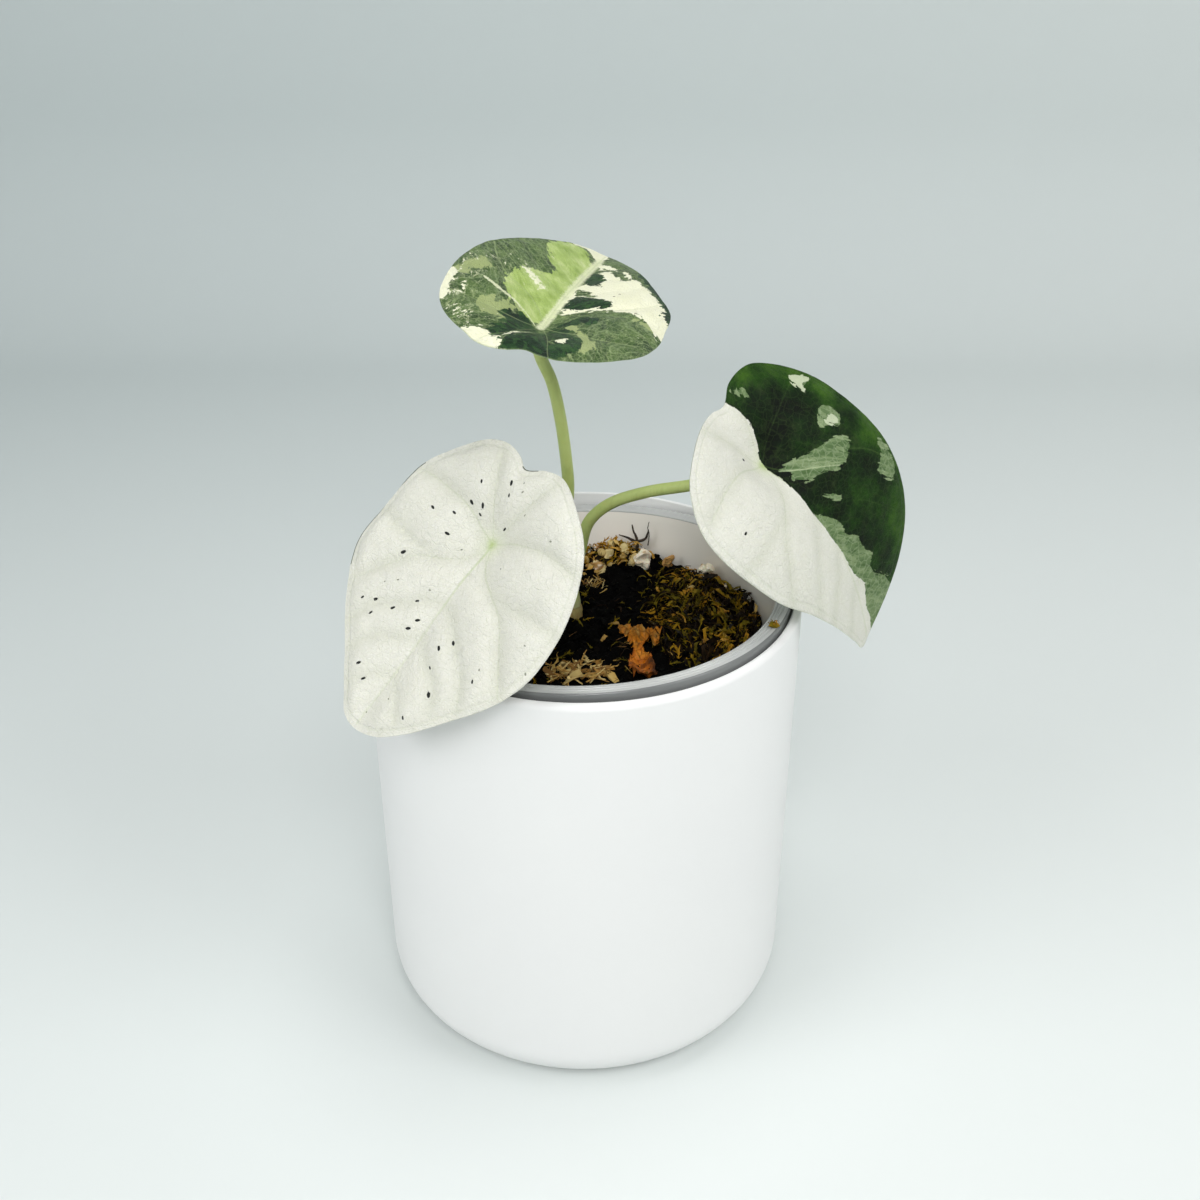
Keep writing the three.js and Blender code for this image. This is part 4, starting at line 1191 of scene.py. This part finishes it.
def blade_height(blade, u, v):
    """Height of a blade's middle surface over its own plane, without the quilting."""
    side = u / BLADE_SIDE
    ahead = np.maximum(v, 0) / BLADE_AHEAD
    behind = np.minimum(v, 0) / BLADE_BEHIND
    return (blade["fold"] * (np.hypot(u, BLADE_CREASE) - BLADE_CREASE) - blade["arch"] * side ** 2
            - blade["droop"] * ahead ** 2 - blade["lobe_droop"] * behind ** 2
            + blade["twist"] * side * v / BLADE_AHEAD
            + blade["funnel"] * (1 - np.exp(-(u * u + v * v) / BLADE_FUNNEL ** 2)))


def wander(u, v, reach, amount, seed):
    """A smooth random shift for each point of a plan."""
    return amount * np.array([noise.noise(Vector((x / reach, y / reach, seed))) for x, y in zip(u, v)])


def vein_layout(blade, u, v):
    """How far each point is from each vein, with how deep the vein lies; the midrib comes first."""
    wide = max(abs(x) for x, y in blade["outline"])
    seed = blade["fold"] * 10
    aside = np.clip(np.abs(u) / 5, 0, 1)
    x = np.abs(u + wander(u, v, 11, 1.1, seed) * aside) * VEIN_REACH[0] / wide
    y = (v + wander(u, v, 11, 1.3, seed + 5) * aside) * VEIN_REACH[1] / blade["outline"][0][1]
    layout = [(1.0, line_distance(x, y, MIDRIB))]
    for depth, vein in SIDE_VEINS:
        layout.append((depth, line_distance(x, y, curve_points(vein, 4))))
    return layout


def blade_sheet(blade):
    """A dense closed sheet over a blade's outline, with its plan kept at each point."""
    margin = curve_points(blade["outline"], 30, True)
    mesh_data = bmesh.new()
    plan = mesh_data.verts.layers.float_vector.new("plan")
    rim = layer(mesh_data, "rim")
    under = layer(mesh_data, "under")
    lower = double_sheet(mesh_data, BLADE_CELLS)
    for vert in mesh_data.verts:
        share, turn = disc_place(vert.co.x, vert.co.y)
        spot = turn * len(margin) % 1
        k = int(turn * len(margin)) % len(margin)
        edge = margin[k].lerp(margin[(k + 1) % len(margin)], spot)
        vert[plan] = (edge * share).to_3d()
        vert[rim] = (1 - share) * edge.length
        vert[under] = float(vert in lower)
    return mesh_data


def read_floats(mesh, name, width=1):
    values = np.zeros(len(mesh.vertices) * width, np.float32)
    mesh.attributes[name].data.foreach_get("vector" if width == 3 else "value", values)
    return values.reshape(-1, width).astype(float) if width > 1 else values.astype(float)


def write_floats(mesh, name, values):
    kind, field = ("FLOAT_VECTOR", "vector") if values.ndim == 2 else ("FLOAT", "value")
    made = mesh.attributes.new(name, kind, "POINT")
    made.data.foreach_set(field, values.astype(np.float32).ravel())


def make_blade(name, blade, markings, finish, node):
    """Shapes a blade from its sheet and stores the distances that its finish draws with."""
    mesh = mesh_of(name, blade_sheet(blade))
    plan = read_floats(mesh, "plan", 3)
    rim, under = read_floats(mesh, "rim"), read_floats(mesh, "under")
    u, v = plan[:, 0], plan[:, 1]
    veins = vein_layout(blade, u, v)
    pillows = np.prod([1 - depth * np.exp(-(gap / (QUILT_REACH * (0.5 + 0.5 * depth))) ** QUILT_SHARPNESS)
                       for depth, gap in veins], axis=0)
    puff = blade["quilt"] * pillows * (1 - np.exp(-(rim / 2.6) ** 2))
    ripple = wander(u, v, 3.4, 0.12, 0) + wander(u, v, 1.3, 0.035, 3)
    half = (BLADE_EDGE + (BLADE_MIDDLE - BLADE_EDGE) * (1 - np.exp(-rim / 1.2))) / 2
    height = blade_height(blade, u, v) + puff + ripple + np.where(under > 0.5, -half, half)
    shifted = u + blade["swing"] * (np.maximum(v, 0) / BLADE_AHEAD) ** 2
    across, ahead, up = (np.array(axis) for axis in blade_axes(blade))
    spots = np.array(blade["at"]) + np.outer(shifted, across) + np.outer(v, ahead) + np.outer(height, up)
    mesh.vertices.foreach_set("co", spots.astype(np.float32).ravel())
    write_floats(mesh, "vein", np.min([gap + 0.45 * (1 - depth) for depth, gap in veins[1:]], axis=0))
    write_floats(mesh, "midrib", veins[0][1])
    lean = 0.9 * np.tanh((v + 2) / 10)
    write_floats(mesh, "across_veins", v - np.abs(u) * lean)
    write_floats(mesh, "along_veins", u * 1.2 + 0.3 * v)
    for mark, values in markings(u, v).items():
        write_floats(mesh, mark, np.clip(values, -9, 9))
    shaped = bmesh.new()
    shaped.from_mesh(mesh)
    bmesh.ops.recalc_face_normals(shaped, faces=shaped.faces)
    bpy.data.meshes.remove(mesh)
    finish_piece(name, shaped, finish, node, sharp_above=80)


def vein_direction(x, y):
    """Unit direction of the side vein that passes nearest to a point."""
    stretches = [pair for _, vein in SIDE_VEINS for pair in zip(vein, vein[1:])]
    spot = np.array([abs(x)]), np.array([y])
    (ax, ay), (bx, by) = min(stretches, key=lambda pair: line_distance(*spot, pair)[0])
    length = math.hypot(bx - ax, by - ay)
    return math.copysign((bx - ax) / length, x * (bx - ax)), (by - ay) / length


def speck_offsets(u, v, specks, radius, length):
    """Each point's offset from the nearest of some short dashes, one long and one wide."""
    offsets = np.full((len(u), 3), 9.0)
    nearest = np.full(len(u), SPECK_REACH)
    draw = random.Random(len(specks))
    for x, y in specks:
        dx, dy = vein_direction(x, y)
        along, across = (u - x) * dx + (v - y) * dy, (v - y) * dx - (u - x) * dy
        size = draw.uniform(0.8, 1.25)
        away = np.hypot(along, across)
        here = away < nearest
        nearest[here] = away[here]
        offsets[here] = np.stack([along / (length * size), across / (radius * size), 0 * u], 1)[here]
    return offsets


def left_markings(u, v):
    return {
        "speck": speck_offsets(u, v, LEFT_SPECKS, 0.26, 0.5),
        "big_speck": speck_offsets(u, v, LEFT_BIG_SPECKS, 0.38, 0.72),
        "faint": speck_offsets(u, v, LEFT_FAINT_SPECKS, 0.16, 0.26),
        "green_edge": np.maximum(0.9 - line_distance(u, v, LEFT_GREEN_EDGE),
                                 0.8 - line_distance(u, v, LEFT_NOTCH_EDGE)),
    }


def top_markings(u, v):
    cream_in_green = deepest_of(u, v, TOP_CREAM_IN_GREEN)
    cream = np.minimum(deepest_of(u, v, TOP_CREAM), -deepest_of(u, v, TOP_GREY_IN_CREAM))
    return {
        "lime": deepest_of(u, v, TOP_LIME),
        "small_lime": deepest_of(u, v, TOP_SMALL_LIME),
        "cream": np.maximum(cream, cream_in_green),
        "dark": np.minimum(deepest_of(u, v, TOP_DARK), -cream_in_green),
        "blotch": line_distance(u, v, TOP_BLOTCH),
        "marbled": line_distance(u, v, TOP_MARBLED),
        "pale_midrib": line_distance(u, v, TOP_PALE_MIDRIB),
        "pale_vein": line_distance(u, v, TOP_PALE_VEIN),
        "speck": speck_offsets(u, v, TOP_SPECKS, 0.22, 0.3),
    }


def right_markings(u, v):
    return {
        "white": deepest_of(u, v, RIGHT_WHITE),
        "sage": deepest_of(u, v, RIGHT_SAGE),
        "pale_sage": deepest_of(u, v, RIGHT_PALE_SAGE),
        "pale_vein": line_distance(u, v, RIGHT_PALE_VEIN),
        "speck": speck_offsets(u, v, RIGHT_SPECKS, 0.22, 0.36),
    }


class BladeFinish(Finish):
    """What the three blades share: net veins, patches with ragged edges, sheen and two faces."""

    def __init__(self, name):
        super().__init__(name, {
            "Specular IOR Level": 0.22, "Subsurface Weight": 0.1, "Subsurface Scale": 0.0009,
            "Subsurface Radius": (1.0, 1.0, 0.6), "Coat Roughness": 0.3})
        self.vein = self.attribute("vein")
        self.midrib = self.attribute("midrib")
        self.rim = self.attribute("rim")
        warped = self.drifted(self.place, 0.35, 3, 1.6)
        self.net = self.below(self.cell_edges(0.62, warped), 0.1)
        self.fine_net = self.below(self.cell_edges(1.7, warped), 0.12)
        flow = self.node("ShaderNodeCombineXYZ", {}, {
            "X": self.attribute("across_veins"), "Y": self.attribute("along_veins") * 0.5})
        self.flow = self.drifted(flow, 0.9, 2, 0.7)
        self.plots = self.cell_tone(0.6, self.flow)
        self.scraps = self.cell_tone(1.5, self.flow)
        fringe = (self.noise(1.8, 3, 0.6) - 0.5) * 0.6
        self.jag = (self.plots - 0.5) * 2.1 + (self.scraps - 0.5) * 0.9 + fringe
        self.out = self.length(self.place)

    def find_place(self):
        """What patterns follow: the place in the blade's own flat plan, in millimetres."""
        return self.attribute("plan", "Vector")

    def length(self, vector):
        return self.vector("LENGTH", vector, output="Value")

    def patch(self, name, reach=1.0, soft=0.1):
        """A marking whose ragged edge runs out along the veins."""
        return self.between(self.attribute(name) + self.jag * reach, -soft, soft)

    def specks(self, name):
        """1 inside the dashes whose offsets an attribute holds."""
        return self.below(self.length(self.drifted(self.attribute(name, "Vector"), 2.6, 2, 0.5)), 1.1, 0.9)

    def finish_blade(self, top, underside, rough, coat):
        skin = self.noise(3.2, 3, 0.6) * 0.5 + self.noise(1.1, 4, 0.65) * 1.3
        relief = self.net * -0.35 + self.fine_net * -0.25 + skin - self.near(self.rim, 1.5, 0.5) * 0.5
        self.set({"Coat Weight": coat})
        return self.wear(self.mix(self.attribute("under"), top, underside), rough, relief, 0.17)


def white_skin(finish):
    """Cream white blade with faint green in its veins, its heart and its margin, and painted shade along the
    vein creases and grooves.
    """
    close = finish.below(finish.out, 24)
    return finish.layers(
        finish.mix(finish.noise(0.14), (214, 213, 202), (224, 223, 213)),
        (finish.between(finish.noise(2.4, 3, 0.6), 0.45, 0.7) * 0.35, (237, 237, 230)),
        (finish.net * 0.08 + finish.fine_net * 0.05, (196, 204, 176)),
        # Darker green right on the veins is partly their own colour and partly painted shade of the creases;
        # the wider greying within 2.8 mm is painted shade of the quilted grooves.
        (finish.below(finish.vein, 0.34) * (0.3 + close * 0.3), (178, 188, 152)),
        (finish.below(finish.vein, 2.8) * 0.26, (188, 191, 170)),
        (finish.below(finish.midrib, 0.5) * (0.22 + close * 0.4), (176, 190, 142)),
        (finish.near(finish.rim, 1.4, 0.3) * 0.2, (182, 190, 162)),
        (finish.below(finish.out, 5) * 0.3, (206, 218, 172)),
        (finish.below(finish.out, 1.9) * 0.7, (172, 190, 124)))


def left_blade_finish():
    finish = BladeFinish("white_quilted_blade")
    skin = white_skin(finish)
    edge = finish.between(finish.attribute("green_edge"), -0.1, 0.3) * finish.below(finish.rim, 0.28, 0.1)
    top = finish.layers(
        skin,
        (finish.specks("faint") * 0.75, (86, 92, 66)),
        (finish.calculate("MAXIMUM", finish.specks("speck"), finish.specks("big_speck")), (10, 14, 10)),
        (edge, (52, 66, 44)))
    underside = finish.mix(finish.below(finish.vein, 0.9) * 0.4, skin, (206, 214, 176))
    return finish.finish_blade(top, underside, 0.42 + finish.noise(0.5) * 0.14, 0.12)


def top_blade_finish():
    finish = BladeFinish("marbled_quilted_blade")
    cloud = finish.noise(0.2, 4)
    cream = finish.mix(cloud, (232, 232, 198), (240, 239, 216))
    lime = finish.ramp(finish.scraps * 0.12 + cloud * 0.88, (0.3, (134, 158, 74)), (0.5, (164, 186, 106)),
                       (0.7, (194, 207, 142)))
    dark = finish.ramp(finish.scraps * 0.4 + cloud * 0.6, (0.3, (12, 34, 16)), (0.5, (24, 54, 26)),
                       (0.7, (46, 80, 36)))
    streaks = finish.noise(1.1, 4, 0.7, finish.flow)
    threads = finish.near(finish.noise(0.75, 4, 0.6, finish.flow), 0.5, 0.024)
    across = finish.node("ShaderNodeSeparateXYZ", {}, {"Vector": finish.flow})
    veinlets = finish.below(finish.calculate("PINGPONG", across, 0.95), 0.2, 0.04)
    clusters = finish.between(finish.noise(0.2, 2), 0.44, 0.56)
    by_edge = finish.below(finish.attribute("marbled"), 7) * clusters
    fleck = finish.noise(0.95, 5, 0.68, finish.flow) + by_edge * 0.12
    blotch = finish.noise(0.8, 5, 0.7) + finish.below(finish.attribute("blotch"), 2.6) * 0.34
    marbled = finish.layers(
        finish.ramp(finish.plots * 0.35 + finish.scraps * 0.15 + cloud * 0.55,
                    (0.28, (32, 56, 22)), (0.5, (56, 82, 36)), (0.72, (82, 106, 54))),
        (finish.between(streaks, 0.56, 0.66) * 0.5, (160, 174, 120)),
        (threads * (0.14 + by_edge * 0.75), (214, 218, 178)),
        (finish.net * 0.32 + finish.fine_net * 0.14 + veinlets * 0.3, (150, 168, 118)),
        (finish.patch("lime", 0.7), lime),
        (finish.patch("small_lime", 0.95, 0.15), finish.mix(cloud, (140, 156, 96), (168, 178, 126))),
        (finish.between(fleck, 0.67, 0.7), cream),
        (finish.between(blotch, 0.68, 0.84) * 0.9, cream),
        (finish.patch("cream", 0.75), cream))
    fringe = (finish.noise(1.5, 5, 0.75) - 0.5) * 1.9
    pale_midrib = finish.below(finish.attribute("pale_midrib") + fringe, 1.4, 0.4)
    near_stalk = finish.below(finish.out, 14) * 0.35
    pale_vein = finish.below(finish.attribute("pale_vein") + fringe + near_stalk, 0.62, 0.3)
    top = finish.layers(
        marbled,
        (finish.patch("dark", 0.7), dark),
        (finish.below(finish.vein, 0.34) * 0.6, (160, 176, 124)),
        (finish.calculate("MAXIMUM", pale_midrib, pale_vein) * 0.88, (222, 226, 188)),
        (finish.below(finish.midrib, 0.4) * 0.3, (176, 190, 134)),
        (finish.specks("speck"), (86, 62, 30)))
    underside = finish.mix(0.5, marbled, (150, 170, 128))
    return finish.finish_blade(top, underside, 0.42 + finish.noise(0.5) * 0.12, 0.06)


def right_blade_finish():
    finish = BladeFinish("half_white_blade")
    finish.set({"Specular IOR Level": 0.12})
    white = finish.patch("white", 0.16, 0.08)
    sage_here = finish.patch("sage", 0.36)
    cloud = finish.noise(0.11, 4, 0.6)
    # The dark green is darkened towards the stalk, painted shade of the cupped heart, and lightened near the
    # margin.
    shade = (cloud + finish.below(finish.rim, 9) * 0.2 - finish.below(finish.out, 22) * 0.16
             + (finish.scraps - 0.5) * 0.05)
    sage = finish.ramp(finish.plots * 0.4 + finish.scraps * 0.3 + cloud * 0.3, (0.2, (70, 96, 54)),
                       (0.5, (104, 126, 84)), (0.8, (140, 156, 116)))
    green = finish.layers(
        finish.ramp(shade, (0.34, (2, 10, 1)), (0.5, (10, 34, 4)), (0.64, (30, 62, 10)), (0.8, (58, 92, 24))),
        # Greyish olive patches over the dark green: painted sheen.
        (finish.between(finish.noise(0.24, 5, 0.7), 0.5, 0.74) * 0.22, (74, 90, 50)),
        (finish.below(finish.vein, 0.3) * 0.3 + finish.net * 0.1, (78, 104, 50)),
        (sage_here, finish.mix(finish.net * 0.35, sage, (160, 174, 138))),
        (finish.patch("pale_sage", 0.4) * 0.85, (198, 206, 176)),
        (finish.below(finish.attribute("pale_vein"), 0.24, 0.06) * sage_here * 0.7, (176, 188, 150)))
    top = finish.layers(green, (white, white_skin(finish)), (finish.specks("speck"), (12, 16, 10)))
    underside = finish.mix(white, finish.mix(0.45, green, (120, 146, 104)), (226, 230, 210))
    return finish.finish_blade(top, underside, 0.46 + finish.noise(0.4) * 0.14, 0.02)


def make_blades():
    make_blade("blade_left", LEFT_BLADE, left_markings, left_blade_finish(), "leaf_left")
    make_blade("blade_top", TOP_BLADE, top_markings, top_blade_finish(), "leaf_top")
    make_blade("blade_right", RIGHT_BLADE, right_markings, right_blade_finish(), "leaf_right")


set_camera()
set_lights()
lay_floor()
make_pot()
make_cup()
make_mix(peat_finish())
make_moss(moss_finish())
make_perlite(perlite_finish())
make_straw(straw_finish())
make_dead_leaf()
make_twig()
make_crown()
make_stalks()
make_blades()
